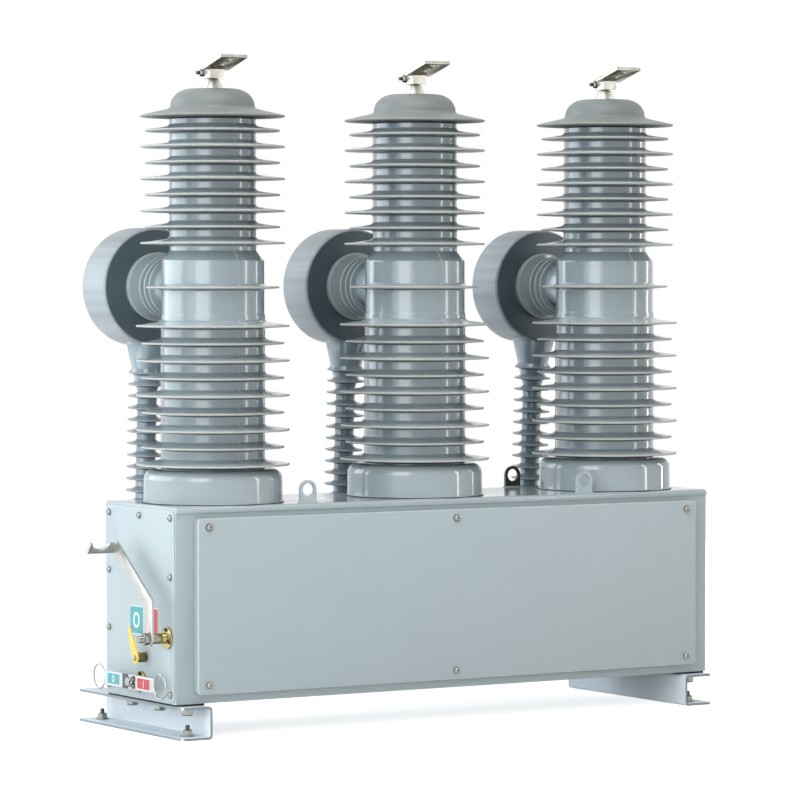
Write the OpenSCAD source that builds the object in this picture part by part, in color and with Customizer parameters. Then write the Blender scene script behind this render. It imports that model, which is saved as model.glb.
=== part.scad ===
// Outdoor three-pole circuit breaker: a long mechanism cabinet on two foot channels, three shedded poles
// and a ring current transformer behind each pole. Millimetres. X runs along the cabinet, Y to the back,
// Z up; the floor is z = 0 and the foot holes are centred on the origin.

/* [Feet] */
// Height of each foot channel
foot_h = 82; // [60:1:120]
// Width of the flanges of a foot channel
foot_w = 86; // [60:1:120]
// Length of a foot channel, front to back
foot_len = 550; // [480:1:700]
// Plate thickness of a foot channel
foot_t = 6; // [4:0.5:10]
// Outer bend radius of a foot channel
foot_bend_r = 10; // [8:0.5:16]
// Corner radius of the flanges of a foot channel
foot_corner_r = 9; // [4:0.5:14]
// Spacing of the inner pair of floor holes
foot_hole_inner = 150; // [100:1:240]
// Spacing of the outer pair of floor holes
foot_hole_outer = 450; // [300:1:470]
// Diameter of a floor hole
foot_hole_d = 14; // [10:0.5:20]
// Thickness of the packing strip between foot and cabinet
packing_t = 5; // [2:0.5:10]
// How far the packing strip stays back from the edges of the foot
packing_inset = 4; // [2:0.5:10]

/* [Cabinet] */
// Distance of the ends of the cabinet from the axes of the outer poles
cab_end = 205; // [180:1:300]
// Depth of the cabinet, front to back
cab_d = 366; // [320:1:460]
// Height of the cabinet
cab_h = 486; // [460:1:600]
// How far the middle of the cabinet lies in front of the middle of the feet
cab_forward = 62; // [0:1:90]
// Sheet thickness of the cabinet
sheet_t = 3; // [2:0.5:5]
// Width of the frame left round each opening of the cabinet
frame_w = 42; // [30:1:60]
// Corner radius at the top of the cabinet's ends
cab_corner_r = 8; // [4:0.5:10]
// Thickness of the top plate
top_t = 4; // [3:0.5:6]
// Inner radius of the bend along the front of the top plate
top_bend_r = 4; // [1:0.5:4]
// Clearance between that bend and the edge of the cabinet
bend_gap = 0.5; // [0.2:0.1:1]
// Height of the lip turned down along the front of the top plate
lip_h = 15; // [12:1:30]
// Margin between the front cover and each end of the cabinet
cover_side = 50; // [30:1:80]
// Gap between the lip of the top plate and the front cover
cover_top_gap = 13; // [1:0.5:20]
// Margin between the front cover and the underside of the cabinet
cover_bottom = 24; // [10:1:40]
// How far the front cover stands proud
cover_proud = 24; // [10:1:40]
// Sheet thickness of the front cover
cover_t = 2; // [1.5:0.5:4]
// Corner radius of the front cover
cover_r = 8; // [3:1:20]
// Thickness of the end panels
panel_t = 3; // [2:0.5:5]
// Margin round an end panel
panel_margin = 5; // [2:0.5:12]
// Corner radius of the end panels
panel_r = 15; // [5:1:30]

/* [Lifting lugs] */
// Distance of the lugs from the axes of the outer poles
lug_in = 180; // [130:1:240]
// Distance of the lugs from the front and back edges of the top plate
lug_inset = 14; // [8:1:30]
// Width of a lug
lug_w = 48; // [42:1:80]
// Height of a lug above the top plate
lug_h = 57; // [44:1:90]
// Thickness of a lug
lug_t = 7; // [5:0.5:16]
// Diameter of the lug hole
lug_hole_d = 33; // [16:0.5:36]

/* [Transformer shelf] */
// Length of the shelf beyond the axes of the outer poles
shelf_over = 62; // [60:1:200]
// Depth of the top of the shelf below the cabinet top
shelf_drop = 44; // [20:1:90]
// Depth of the shelf
shelf_d = 256; // [250:1:320]
// Plate thickness of the shelf
shelf_t = 5; // [4:0.5:10]
// Height of the lip turned down along the back of the shelf
shelf_lip = 45; // [25:1:70]
// Height of the gussets where they meet the cabinet
gusset_h = 150; // [90:1:220]
// Thickness of a gusset
gusset_t = 6; // [4:0.5:10]
// Distance of a pair of gussets from the middle of a pole
gusset_x = 50; // [36:1:56]

/* [Poles] */
// Distance from pole to pole
pole_pitch = 600; // [560:1:640]
// Distance of the pole axis behind the front of the cabinet
pole_back = 178; // [176:1:190]
// Diameter of the drum under a pole
drum_d = 349; // [320:1:350]
// Height of the drum
drum_h = 84; // [60:1:86]
// Edge radius at the top of the drum
drum_edge_r = 25; // [10:1:40]
// Diameter of the lower core
low_core_d = 263; // [240:1:280]
// Height of the lowest shed above the cabinet top
low_shed_z = 95; // [94:1:110]
// Step from shed to shed on the lower part
low_shed_step = 43.5; // [40:0.5:44]
// Number of lower sheds
low_shed_n = 9; // [7:1:9]
// Diameter of the large lower sheds
low_big_d = 387; // [340:1:420]
// Diameter of the small lower sheds
low_small_d = 360; // [320:1:400]
// Diameter of the middle housing
housing_d = 259; // [240:1:280]
// Height of the middle shed above the cabinet top, also the height of the outlet axis
mid_z = 540; // [535:1:550]
// Depth of the housing below the middle shed
housing_drop = 70; // [60:1:72]
// Height of the small step at the foot of the housing
housing_step = 4; // [2:0.5:8]
// Diameter of the middle shed
mid_shed_d = 336; // [300:1:380]
// Height of the shoulder above the cabinet top, where the housing ends
shoulder_z = 612; // [605:1:614]
// Height of the sloping shoulder
shoulder_h = 20; // [10:1:22]
// Diameter of the upper core
up_core_d = 219; // [200:1:240]
// Height of the first upper shed above the cabinet top
up_shed_z = 651; // [648:1:665]
// Step from shed to shed on the upper part
up_shed_step = 40.3; // [36:0.1:46]
// Number of upper sheds
up_shed_n = 8; // [6:1:10]
// Diameter of the large upper sheds
up_big_d = 364; // [320:1:400]
// Diameter of the small upper sheds
up_small_d = 340; // [300:1:380]
// Thickness of a shed at its tip
shed_tip = 5; // [3:0.5:8]
// Rise of a shed from its tip to its root, on top
shed_rise = 12; // [6:0.5:16]
// Drop of a shed from its tip to its root, underneath
shed_under = 4; // [2:0.5:6]
// Size of the fillet between shed and core
shed_fillet = 6; // [3:0.5:8]

/* [Pole cap] */
// Diameter of the brim of the cap
brim_d = 364; // [320:1:400]
// Diameter of the dome where it leaves the brim
dome_d = 212; // [200:1:240]
// Diameter of the flat on top of the dome
dome_flat_d = 110; // [80:1:140]
// Height of the dome above the tip of the brim
dome_h = 64.5; // [50:0.5:100]
// Exponent of the dome's outline, 1 for an ellipse, less for a fuller shoulder
dome_curve = 1; // [0.8:0.05:1.6]

/* [Top terminal] */
// Diameter of the collar at the foot of the stud
collar_d = 50; // [36:1:70]
// Diameter of the collar where the stud leaves it
collar_top_d = 34; // [30:1:36]
// Height of the collar
collar_h = 23.5; // [8:0.5:30]
// Diameter of the stud
stud_d = 24; // [16:1:28]
// Height of the stud above the collar
stud_h = 38; // [36:1:60]
// Width of the clamp block round the stud
block_w = 40; // [36:1:50]
// Depth of the clamp block, front to back
block_d = 46; // [40:1:60]
// Height of the clamp block
block_h = 28; // [22:1:32]
// Gap between collar and clamp block
block_gap = 3; // [2:0.5:6]
// Width of the terminal pad
pad_w = 76; // [50:1:100]
// Length of the terminal pad in front of the clamp block
pad_l = 100; // [88:1:130]
// Thickness of the terminal pad
pad_t = 8; // [6:0.5:14]
// Width of the slit in the clamp block
slit_w = 3; // [2:0.5:5]
// Slope of the terminal pad
pad_tilt = 16; // [0:1:25]
// Spacing of the two pad holes
pad_hole_gap = 40; // [30:1:50]
// Distance of the outer pad hole from the end of the pad
pad_hole_end = 20; // [14:1:28]
// Diameter of a pad hole
pad_hole_d = 14; // [9:0.5:18]

/* [Outlet arm] */
// Diameter of the outlet arm between pole and transformer
arm_d = 124; // [100:1:140]
// Diameter of the first rib of the outlet arm
rib_d = 152; // [142:1:170]
// Growth in diameter from rib to rib
rib_grow = 4; // [0:0.5:6]
// Number of ribs on the outlet arm
rib_n = 3; // [2:1:3]
// Distance of the first rib behind the pole axis
rib_y = 199; // [195:1:210]
// Step from rib to rib
rib_step = 21.5; // [18:0.5:22]
// Thickness of a rib at its edge
rib_t = 5; // [3:0.5:8]
// Diameter of the flange that meets the transformer
hub_d = 178; // [150:1:220]
// Thickness of that flange
hub_t = 14; // [8:1:18]
// Length of the cone that leads to that flange
hub_cone = 10; // [6:1:16]

/* [Current transformers] */
// Outer diameter of a transformer ring
ct_d = 305; // [280:1:330]
// Width of a transformer ring, front to back
ct_w = 124; // [100:1:130]
// Distance of the front face of the ring behind the pole axis
ct_front = 296; // [290:1:305]
// Edge radius of the ring
ct_edge_r = 9; // [4:1:20]
// Diameter of the support post at its head
post_head_d = 112; // [100:1:140]
// Height of the head cone of the support post
post_cone_h = 122; // [60:1:130]
// Height by which the head of the post reaches up round the ring
post_saddle = 16; // [10:1:24]
// Diameter of the support post below the cone
post_d = 50; // [40:1:70]
// Diameter of the post sheds
post_shed_d = 100; // [80:1:120]
// Step from post shed to post shed
post_shed_step = 30.6; // [26:0.1:34]
// Height of the lowest post shed above the base plate
post_shed_z = 12.4; // [10:0.1:20]
// Number of post sheds below the head
post_shed_n = 12; // [8:1:12]
// Thickness of a post shed at its tip
post_shed_t = 4; // [3:0.5:6]
// Depth of a post shed at its root, below its middle
post_shed_under = 4; // [3:0.5:6]
// Height of a post shed at its root, above its middle
post_shed_rise = 9; // [5:0.5:12]
// Lean of a support post to the front, in degrees
post_lean = 3; // [0:0.5:5]
// Distance of the foot of a support post behind the middle of its ring
post_back = 4; // [0:0.5:12]
// Width of the square base plate under a support post
base_w = 120; // [112:1:180]
// Thickness of the base plate
base_t = 14; // [8:1:20]
// Diameter of the rear terminal flange
rear_flange_d = 150; // [120:1:180]
// Thickness of the rear terminal flange
rear_flange_t = 12; // [8:1:20]
// Length of the rear terminal pad
rear_pad_l = 100; // [90:1:130]
// Thickness of the rear terminal pad
rear_pad_t = 12; // [8:1:20]

/* [Charging lever] */
// Distance of the lever shaft behind the front of the cabinet
lever_back = 37; // [32:1:60]
// Depth of the lever shaft below the cabinet top
lever_drop = 323; // [300:1:340]
// Diameter of the flange of the lever bearing
bearing_flange_d = 54; // [46:1:62]
// Thickness of a bearing flange
bearing_flange_t = 5; // [3:0.5:8]
// Diameter of the lever bearing
bearing_d = 27; // [25:0.5:34]
// Length of the lever bearing
bearing_l = 20; // [14:1:40]
// Diameter of the lever shaft
shaft_d = 18; // [14:0.5:20]
// Length of the lever shaft outside the panel
shaft_l = 84; // [80:1:100]
// Length of the lever shaft inside the cabinet
shaft_in = 30; // [20:1:60]
// Diameter of the collar that keeps a shaft in its bearing
keep_d = 26; // [24:0.5:30]
// Width of that collar
keep_w = 6; // [4:0.5:10]
// Diameter of the hole for the lever shaft through panel and cabinet
shaft_hole_d = 32; // [31:0.5:44]
// Radial running clearance in the bearings
run_gap = 0.05; // [0.02:0.01:0.1]
// End play of a shaft in its bearing
end_play = 0.5; // [0.3:0.1:1]
// Distance of the lever bar from the panel
lever_out = 48; // [48:1:56]
// Width of the lever bar
lever_w = 36; // [30:1:44]
// Thickness of the lever bar
lever_t = 6; // [4:0.5:8]
// Length of the upright part of the lever
lever_up = 86; // [60:1:110]
// Height of the sloping part of the lever
lever_rise = 132; // [100:1:150]
// Reach of the sloping part of the lever to the back
lever_reach = 179; // [140:1:190]
// Length of the fork tab at the end of the lever
tab_l = 76; // [64:1:90]
// Height of the fork tab
tab_h = 30; // [26:1:36]
// Distance of the fork tab from the end of the lever bar
lever_end = 2; // [1:0.5:8]
// Distance of the notch from the end of the fork tab
notch_edge = 6; // [3:0.5:12]
// Width of the notch in the fork tab
notch_w = 48; // [30:1:52]
// Depth of the notch in the fork tab
notch_h = 19; // [10:1:20]
// Width across the corners of the nut that holds the lever
lever_nut_d = 30; // [26:1:36]
// Thickness of that nut
lever_nut_t = 14; // [8:1:20]

/* [Position pointer] */
// Distance of the pointer pivot behind the front of the cabinet
pointer_back = 150; // [130:1:200]
// Depth of the pointer pivot below the cabinet top
pointer_drop = 379; // [360:1:385]
// Diameter of the pointer boss
boss_d = 24; // [20:0.5:26]
// Length of the pointer boss
boss_l = 27; // [20:1:27]
// Diameter of the pointer pin
pin_d = 10; // [6:0.5:12]
// Length of the pointer pin inside the boss
pin_l = 24; // [18:1:26]
// Length of the pointer from pivot to tip
pointer_l = 84; // [60:1:90]
// Radius of the round end of the pointer
pointer_r = 16; // [12:0.5:20]
// Radius of the tip of the pointer
pointer_tip_r = 5; // [3:0.5:8]
// Thickness of the pointer
pointer_t = 3; // [2:0.5:5]
// Tilt of the pointer to the back as it stands
pointer_tilt = 24; // [0:1:30]
// Gap between the pointer and its boss
pointer_gap = 1; // [0.5:0.1:2]
// Width across the corners of the pointer nut
pointer_nut_d = 16; // [12:0.5:20]
// Thickness of the pointer nut
pointer_nut_t = 6; // [3:0.5:8]

/* [Trip rocker] */
// Distance of the rocker pivot behind the front of the cabinet
rocker_back = 172; // [150:1:190]
// Depth of the rocker pivot below the cabinet top
rocker_drop = 440; // [436:1:446]
// Diameter of the flange of the rocker bearing
rocker_flange_d = 50; // [44:1:60]
// Diameter of the rocker bearing
rocker_bearing_d = 26; // [24:0.5:32]
// Length of the rocker bearing
rocker_bearing_l = 32; // [26:1:33]
// Diameter of the rocker pin
rocker_pin_d = 14; // [10:0.5:16]
// Length of the rocker pin inside its bearing
rocker_pin_l = 28; // [20:1:30]
// Gap between the rocker plate and its bearing
rocker_gap = 1; // [0.5:0.1:2]
// Length of the rocker plate
rocker_l = 258; // [220:1:280]
// Height of the rocker plate
rocker_h = 36; // [28:1:44]
// Thickness of the rocker plate
rocker_t = 4; // [3:0.5:5]
// Outer diameter of a pull ring
ring_d = 66; // [50:1:80]
// Diameter of the wire of a pull ring
ring_wire = 5; // [4:0.5:7]
// Width across the corners of the rocker nut
rocker_nut_d = 24; // [18:1:30]
// Thickness of the rocker nut
rocker_nut_t = 5; // [3:0.5:5]

/* [Hidden] */
$fn = 96;
eps = 1;
tip_share = 0.3;
fillet_share = 0.3;
cab_l = 2 * (pole_pitch + cab_end);
cab_z = foot_h + packing_t;
cab_top = cab_z + cab_h;
front_y = -cab_forward - cab_d / 2;
back_y = front_y + cab_d;
shell_h = cab_h - top_t;
foot_x = cab_l / 2 - foot_w;
lug_x = pole_pitch - lug_in;
shelf_l = 2 * (pole_pitch + shelf_over);
pole_y = front_y + pole_back;
shelf_end = back_y + shelf_d;
shelf_z = cab_top - shelf_drop;
ct_y = pole_y + ct_front;
ct_mid = ct_y + ct_w / 2;
out_z = cab_top + mid_z;
post_y = ct_mid + post_back;
post_z = shelf_z + base_t;
brim_z = up_shed_z + up_shed_n * up_shed_step;
cap_z = brim_z - shed_tip / 2 - shed_under - shed_fillet;
dome_top = brim_z + dome_h;
block_z = cab_top + dome_top + collar_h + block_gap;
panel_x = cab_l / 2 + panel_t;
lever_y = front_y + lever_back;
lever_z = cab_top - lever_drop;
lever_angle = atan2(lever_reach, lever_rise);
lever_slope = sqrt(lever_reach * lever_reach + lever_rise * lever_rise);
pointer_y = front_y + pointer_back;
pointer_z = cab_top - pointer_drop;
pointer_out = boss_l + pointer_gap;
rocker_y = front_y + rocker_back;
rocker_z = cab_top - rocker_drop;
rocker_out = rocker_bearing_l + rocker_gap;
ring_r = (ring_d - ring_wire) / 2;
ring_x = rocker_l / 2 + ring_r;
notch_r = (notch_w * notch_w / 4 + notch_h * notch_h) / (2 * notch_h);
lever_steps = 16;

// The unit vector at an angle.
function heading(a) = [cos(a), sin(a)];

// One shed of a revolved profile, from its underside to its top, at tip height z. The tip is rounded by a
// share of its thickness, and the fillets at the root pass through one point each.
function shed(core, tip, z) = [
    [core, z - shed_tip / 2 - shed_under - shed_fillet],
    [core + shed_fillet * fillet_share, z - shed_tip / 2 - shed_under - shed_fillet * fillet_share],
    [core + shed_fillet, z - shed_tip / 2 - shed_under],
    [tip - shed_tip * tip_share, z - shed_tip / 2],
    [tip, z - shed_tip / 2 + shed_tip * tip_share],
    [tip, z + shed_tip / 2 - shed_tip * tip_share],
    [tip - shed_tip * tip_share, z + shed_tip / 2],
    [core + shed_fillet * 2, z + shed_tip / 2 + shed_rise - shed_fillet * fillet_share],
    [core + shed_fillet / 2, z + shed_tip / 2 + shed_rise + shed_fillet * fillet_share],
    [core, z + shed_tip / 2 + shed_rise + shed_fillet]
];

// A rectangle with round corners, centred.
module round_rect(w, h, r) {
    square([w - 2 * r, h], center = true);
    square([w, h - 2 * r], center = true);
    for (x = [-1, 1], y = [-1, 1]) translate([x * (w / 2 - r), y * (h / 2 - r)]) circle(r);
}

// Places a piece on the left end: its z points out of the panel, its x up and its y to the back.
module on_panel(y, z) {
    translate([-panel_x, y, z]) rotate([0, -90, 0]) children();
}

// Cross-section of a foot channel, centred: its web on the left, its bends round inside and outside.
module foot_profile() {
    difference() {
        union() {
            translate([foot_bend_r / 2, 0]) square([foot_w - foot_bend_r, foot_h], center = true);
            square([foot_w, foot_h - 2 * foot_bend_r], center = true);
            for (y = [-1, 1])
                translate([foot_bend_r - foot_w / 2, y * (foot_h / 2 - foot_bend_r)]) circle(foot_bend_r);
        }
        translate([foot_bend_r / 2 + eps, 0])
            square([foot_w - foot_bend_r + 2 * eps, foot_h - 2 * foot_t], center = true);
        translate([foot_t, 0]) square([foot_w, foot_h - 2 * foot_bend_r], center = true);
        for (y = [-1, 1])
            translate([foot_bend_r - foot_w / 2, y * (foot_h / 2 - foot_bend_r)])
                circle(foot_bend_r - foot_t);
    }
}

// Plan of a foot channel, centred: the free corners of its flanges are round.
module foot_plan() {
    translate([-foot_corner_r / 2, 0]) square([foot_w - foot_corner_r, foot_len], center = true);
    square([foot_w, foot_len - 2 * foot_corner_r], center = true);
    for (y = [-1, 1]) translate([foot_w / 2 - foot_corner_r, y * (foot_len / 2 - foot_corner_r)])
        circle(foot_corner_r);
}

// Foot channel with its web inboard, drawn for the right-hand end.
module foot() {
    difference() {
        translate([foot_x + foot_w / 2, 0, foot_h / 2]) intersection() {
            rotate([90, 0, 0]) linear_extrude(foot_len, center = true) foot_profile();
            linear_extrude(foot_h + 2 * eps, center = true) foot_plan();
        }
        for (y = [foot_hole_inner, foot_hole_outer], s = [-1, 1])
            translate([foot_x + foot_w / 2, s * y / 2, -eps]) cylinder(d = foot_hole_d, h = foot_t + 2 * eps);
    }
}

module foot_channel_left() color("LightSteelBlue") mirror([1, 0, 0]) foot();
module foot_channel_right() color("LightSteelBlue") foot();

module packing() {
    translate([foot_x + packing_inset, front_y + packing_inset, foot_h])
        cube([foot_w - 2 * packing_inset, cab_d - 2 * packing_inset, packing_t]);
}

module foot_packing_left() color("DimGray") mirror([1, 0, 0]) packing();
module foot_packing_right() color("DimGray") packing();

// Front view of the whole cabinet from its underside up: its two upper corners are round.
module cabinet_front() {
    translate([-cab_l / 2, 0]) square([cab_l, cab_h - cab_corner_r]);
    translate([cab_corner_r - cab_l / 2, 0]) square([cab_l - 2 * cab_corner_r, cab_h]);
    for (x = [-1, 1]) translate([x * (cab_l / 2 - cab_corner_r), cab_h - cab_corner_r]) circle(cab_corner_r);
}

// The cabinet's front view drawn out to the back, wider than the cabinet is deep.
module cabinet_form() {
    translate([0, back_y + eps, cab_z]) rotate([90, 0, 0]) linear_extrude(cab_d + top_t + 2 * eps)
        cabinet_front();
}

// Side view of the shell, front to the left: its upper front edge is round to clear the top plate's bend.
module shell_side() {
    r = top_bend_r + bend_gap;
    square([cab_d, shell_h - r]);
    translate([r, 0]) square([cab_d - r, shell_h]);
    translate([r, shell_h - r]) circle(r);
}

// Side view of the top plate, front to the left: flat sheet, bend and lip. The lip's outer face is at x = 0.
module top_side() {
    r = top_bend_r + top_t;
    translate([r, -top_t]) square([cab_d + top_t - r, top_t]);
    translate([0, -lip_h]) square([top_t, lip_h - r]);
    translate([r, -r]) intersection() {
        difference() {
            circle(r);
            circle(top_bend_r);
        }
        translate([-r, 0]) square(r);
    }
}

module cabinet_shell() color("LightGray") {
    translate([0, front_y + cab_d / 2, cab_z]) difference() {
        intersection() {
            translate([-cab_l / 2, -cab_d / 2, 0]) rotate([90, 0, 90]) linear_extrude(cab_l) shell_side();
            translate([0, -front_y - cab_d / 2, -cab_z]) cabinet_form();
        }
        translate([0, 0, shell_h / 2])
            cube([cab_l - 2 * sheet_t, cab_d - 2 * sheet_t, shell_h - 2 * sheet_t], center = true);
        translate([0, -cab_d / 2, (cover_bottom + cab_h - lip_h - cover_top_gap) / 2])
            cube([cab_l - 2 * cover_side - 2 * frame_w, 4 * sheet_t,
                  cab_h - lip_h - cover_top_gap - cover_bottom - 2 * frame_w], center = true);
        translate([0, 0, shell_h / 2])
            cube([cab_l + 2 * eps, cab_d - 2 * frame_w, shell_h - 2 * frame_w], center = true);
        translate([-cab_l / 2, lever_back - cab_d / 2, cab_h - lever_drop]) rotate([0, 90, 0])
            cylinder(d = shaft_hole_d, h = 4 * sheet_t, center = true);
    }
}

module lug() {
    rotate([90, 0, 0]) linear_extrude(lug_t, center = true) difference() {
        union() {
            translate([-lug_w / 2, -top_t / 2]) square([lug_w, lug_h - lug_w / 2 + top_t / 2]);
            translate([0, lug_h - lug_w / 2]) circle(d = lug_w);
        }
        translate([0, lug_h - lug_w / 2]) circle(d = lug_hole_d);
    }
}

module cabinet_top() color("LightGray") {
    intersection() {
        translate([-cab_l / 2, front_y - top_t, cab_top]) rotate([90, 0, 90]) linear_extrude(cab_l)
            top_side();
        cabinet_form();
    }
    for (x = [-lug_x, lug_x], y = [front_y + lug_inset, back_y - lug_inset])
        translate([x, y, cab_top]) lug();
}

module front_cover() color("Silver") {
    cover_l = cab_l - 2 * cover_side;
    cover_h = cab_h - lip_h - cover_top_gap - cover_bottom;
    translate([0, front_y, cab_z + cover_bottom + cover_h / 2]) rotate([90, 0, 0]) difference() {
        linear_extrude(cover_proud) round_rect(cover_l, cover_h, cover_r);
        translate([0, 0, -eps]) linear_extrude(cover_proud - cover_t + eps)
            round_rect(cover_l - 2 * cover_t, cover_h - 2 * cover_t, cover_r - cover_t);
    }
}

module end_blank() {
    rotate([0, -90, 0]) linear_extrude(panel_t)
        round_rect(shell_h - 2 * panel_margin, cab_d - 2 * panel_margin, panel_r);
}

module operating_panel() color("AliceBlue") difference() {
    translate([-cab_l / 2, front_y + cab_d / 2, cab_z + shell_h / 2]) end_blank();
    on_panel(lever_y, lever_z) translate([0, 0, -panel_t - eps])
        cylinder(d = shaft_hole_d, h = panel_t + 2 * eps);
}

module end_plate() color("AliceBlue")
    translate([cab_l / 2 + panel_t, front_y + cab_d / 2, cab_z + shell_h / 2]) end_blank();

module ct_shelf() color("LightGray") {
    translate([-shelf_l / 2, back_y, shelf_z - shelf_t]) cube([shelf_l, shelf_d, shelf_t]);
    translate([-shelf_l / 2, shelf_end - shelf_t, shelf_z - shelf_lip])
        cube([shelf_l, shelf_t, shelf_lip - shelf_t / 2]);
    translate([-shelf_l / 2, back_y, shelf_z - gusset_h]) cube([shelf_l, shelf_t, gusset_h - shelf_t / 2]);
    for (p = [-1, 0, 1], s = [-1, 1])
        translate([p * pole_pitch + s * gusset_x + gusset_t / 2, back_y + shelf_t / 2, shelf_z - shelf_t / 2])
            rotate([90, 0, -90]) linear_extrude(gusset_t) polygon([
                [0, 0], [-(shelf_d - shelf_t), 0], [-(shelf_d - shelf_t), shelf_t / 2 - shelf_lip + eps],
                [0, shelf_t / 2 - gusset_h + eps]]);
}

module pole_base() color("Gray") translate([0, pole_y, cab_top]) rotate_extrude() {
    square([drum_d / 2, drum_h - drum_edge_r]);
    square([drum_d / 2 - drum_edge_r, drum_h]);
    translate([drum_d / 2 - drum_edge_r, drum_h - drum_edge_r]) intersection() {
        circle(drum_edge_r);
        square(drum_edge_r);
    }
}

module pole_insulator() color("SlateGray") {
    low = low_core_d / 2;
    mid = housing_d / 2;
    up = up_core_d / 2;
    translate([0, pole_y, cab_top]) rotate_extrude() polygon(concat(
        [[0, drum_h], [low, drum_h]],
        [for (k = [0 : low_shed_n - 1])
            for (q = shed(low, (k % 2 == 0 ? low_big_d : low_small_d) / 2,
                low_shed_z + k * low_shed_step)) [q[0], max(q[1], drum_h + eps)]],
        [[low, mid_z - housing_drop], [mid, mid_z - housing_drop + housing_step]],
        shed(mid, mid_shed_d / 2, mid_z),
        [[mid, shoulder_z], [up, shoulder_z + shoulder_h]],
        [for (k = [0 : up_shed_n - 1])
            for (q = shed(up, (k % 2 == 0 ? up_big_d : up_small_d) / 2, up_shed_z + k * up_shed_step)) q],
        [[up, cap_z], [0, cap_z]]));
    translate([0, pole_y, out_z]) rotate([-90, 0, 0]) rotate_extrude() polygon(concat(
        [[0, 0], [arm_d / 2, 0]],
        [for (k = [0 : rib_n - 1]) for (q = [
            [arm_d / 2, rib_y + k * rib_step - rib_t],
            [(rib_d + k * rib_grow) / 2, rib_y + k * rib_step - rib_t / 2],
            [(rib_d + k * rib_grow) / 2, rib_y + k * rib_step + rib_t / 2],
            [arm_d / 2, rib_y + k * rib_step + rib_t]]) q],
        [[arm_d / 2, ct_front - hub_t - hub_cone], [hub_d / 2, ct_front - hub_t], [hub_d / 2, ct_front],
            [0, ct_front]]));
}

module pole_cap() color("DarkGray") translate([0, pole_y, cab_top]) rotate_extrude() {
    root = shed_tip / 2 + shed_rise + shed_fillet;
    polygon(concat(
        [[0, cap_z]],
        shed(dome_d / 2, brim_d / 2, brim_z),
        [for (a = [10 : 10 : 90]) [
            dome_flat_d / 2 + (dome_d - dome_flat_d) / 2 * pow(max(0, cos(a)), dome_curve),
            brim_z + root + (dome_h - root) * pow(sin(a), dome_curve)]],
        [[0, dome_top]]));
}

module terminal_stud() color("Silver") translate([0, pole_y, cab_top + dome_top]) {
    cylinder(d1 = collar_d, d2 = collar_top_d, h = collar_h);
    cylinder(d = stud_d, h = collar_h + stud_h);
}

module terminal_clamp() color("Gainsboro") translate([0, pole_y, block_z]) difference() {
    union() {
        translate([0, 0, block_h / 2]) cube([block_w, block_d, block_h], center = true);
        translate([0, -block_d / 2 + pad_t, block_h - pad_t]) rotate([-pad_tilt, 0, 0])
            translate([-pad_w / 2, -pad_l, 0]) cube([pad_w, pad_l, pad_t]);
    }
    translate([0, 0, -eps]) cylinder(d = stud_d, h = block_h + 2 * pad_t);
    translate([0, block_d / 4 + stud_d / 4, block_h / 2])
        cube([slit_w, block_d / 2, block_h + 4 * eps], center = true);
    translate([0, -block_d / 2 + pad_t, block_h - pad_t]) rotate([-pad_tilt, 0, 0])
        for (k = [0, 1]) translate([0, -pad_l + pad_hole_end + k * pad_hole_gap, -eps])
            cylinder(d = pad_hole_d, h = pad_t + 2 * eps);
}

module ct_ring() color("LightSlateGray") translate([0, ct_y, out_z]) rotate([-90, 0, 0]) rotate_extrude() {
    square([ct_d / 2 - ct_edge_r, ct_w]);
    translate([0, ct_edge_r]) square([ct_d / 2, ct_w - 2 * ct_edge_r]);
    for (y = [ct_edge_r, ct_w - ct_edge_r]) translate([ct_d / 2 - ct_edge_r, y]) circle(ct_edge_r);
}

module ct_support() color("SlateGray") {
    top = out_z - ct_d / 2 - post_z;
    difference() {
        translate([0, post_y, post_z]) rotate([post_lean, 0, 0]) rotate_extrude() {
            polygon([[0, -base_t], [post_d / 2, -base_t], [post_d / 2, top - post_cone_h],
                [post_head_d / 2, top], [post_head_d / 2, top + post_saddle], [0, top + post_saddle]]);
            for (k = [0 : post_shed_n - 1]) translate([0, post_shed_z + k * post_shed_step]) polygon([
                [0, -post_shed_under], [post_d / 2, -post_shed_under], [post_shed_d / 2, -post_shed_t / 2],
                [post_shed_d / 2, post_shed_t / 2], [post_d / 2, post_shed_rise], [0, post_shed_rise]]);
        }
        translate([0, ct_mid, out_z]) rotate([90, 0, 0])
            cylinder(d = ct_d, h = ct_w + 2 * post_head_d, center = true);
        translate([0, post_y, post_z - base_t]) cube([base_w, base_w, 2 * base_t], center = true);
    }
}

module ct_base() color("DimGray") translate([0, post_y, post_z - base_t / 2])
    cube([base_w, base_w, base_t], center = true);

module rear_terminal() color("Gainsboro") translate([0, ct_y + ct_w, out_z]) difference() {
    union() {
        rotate([-90, 0, 0]) cylinder(d = rear_flange_d, h = rear_flange_t);
        translate([-pad_w / 2, rear_flange_t - eps, -rear_pad_t / 2])
            cube([pad_w, rear_pad_l + eps, rear_pad_t]);
    }
    for (k = [0, 1]) translate([0, rear_flange_t + rear_pad_l - pad_hole_end - k * pad_hole_gap, 0])
        cylinder(d = pad_hole_d, h = rear_pad_t + 2 * eps, center = true);
}

// Bearing with a round flange on the panel and a bore for its shaft.
module bearing(flange_d, flange_t, d, l, bore_d) {
    difference() {
        union() {
            cylinder(d = flange_d, h = flange_t);
            cylinder(d = d, h = l);
        }
        translate([0, 0, -eps]) cylinder(d = bore_d + 2 * run_gap, h = l + 2 * eps);
    }
}

module lever_bearing() color("Goldenrod") on_panel(lever_y, lever_z)
    bearing(bearing_flange_d, bearing_flange_t, bearing_d, bearing_l, shaft_d);

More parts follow.
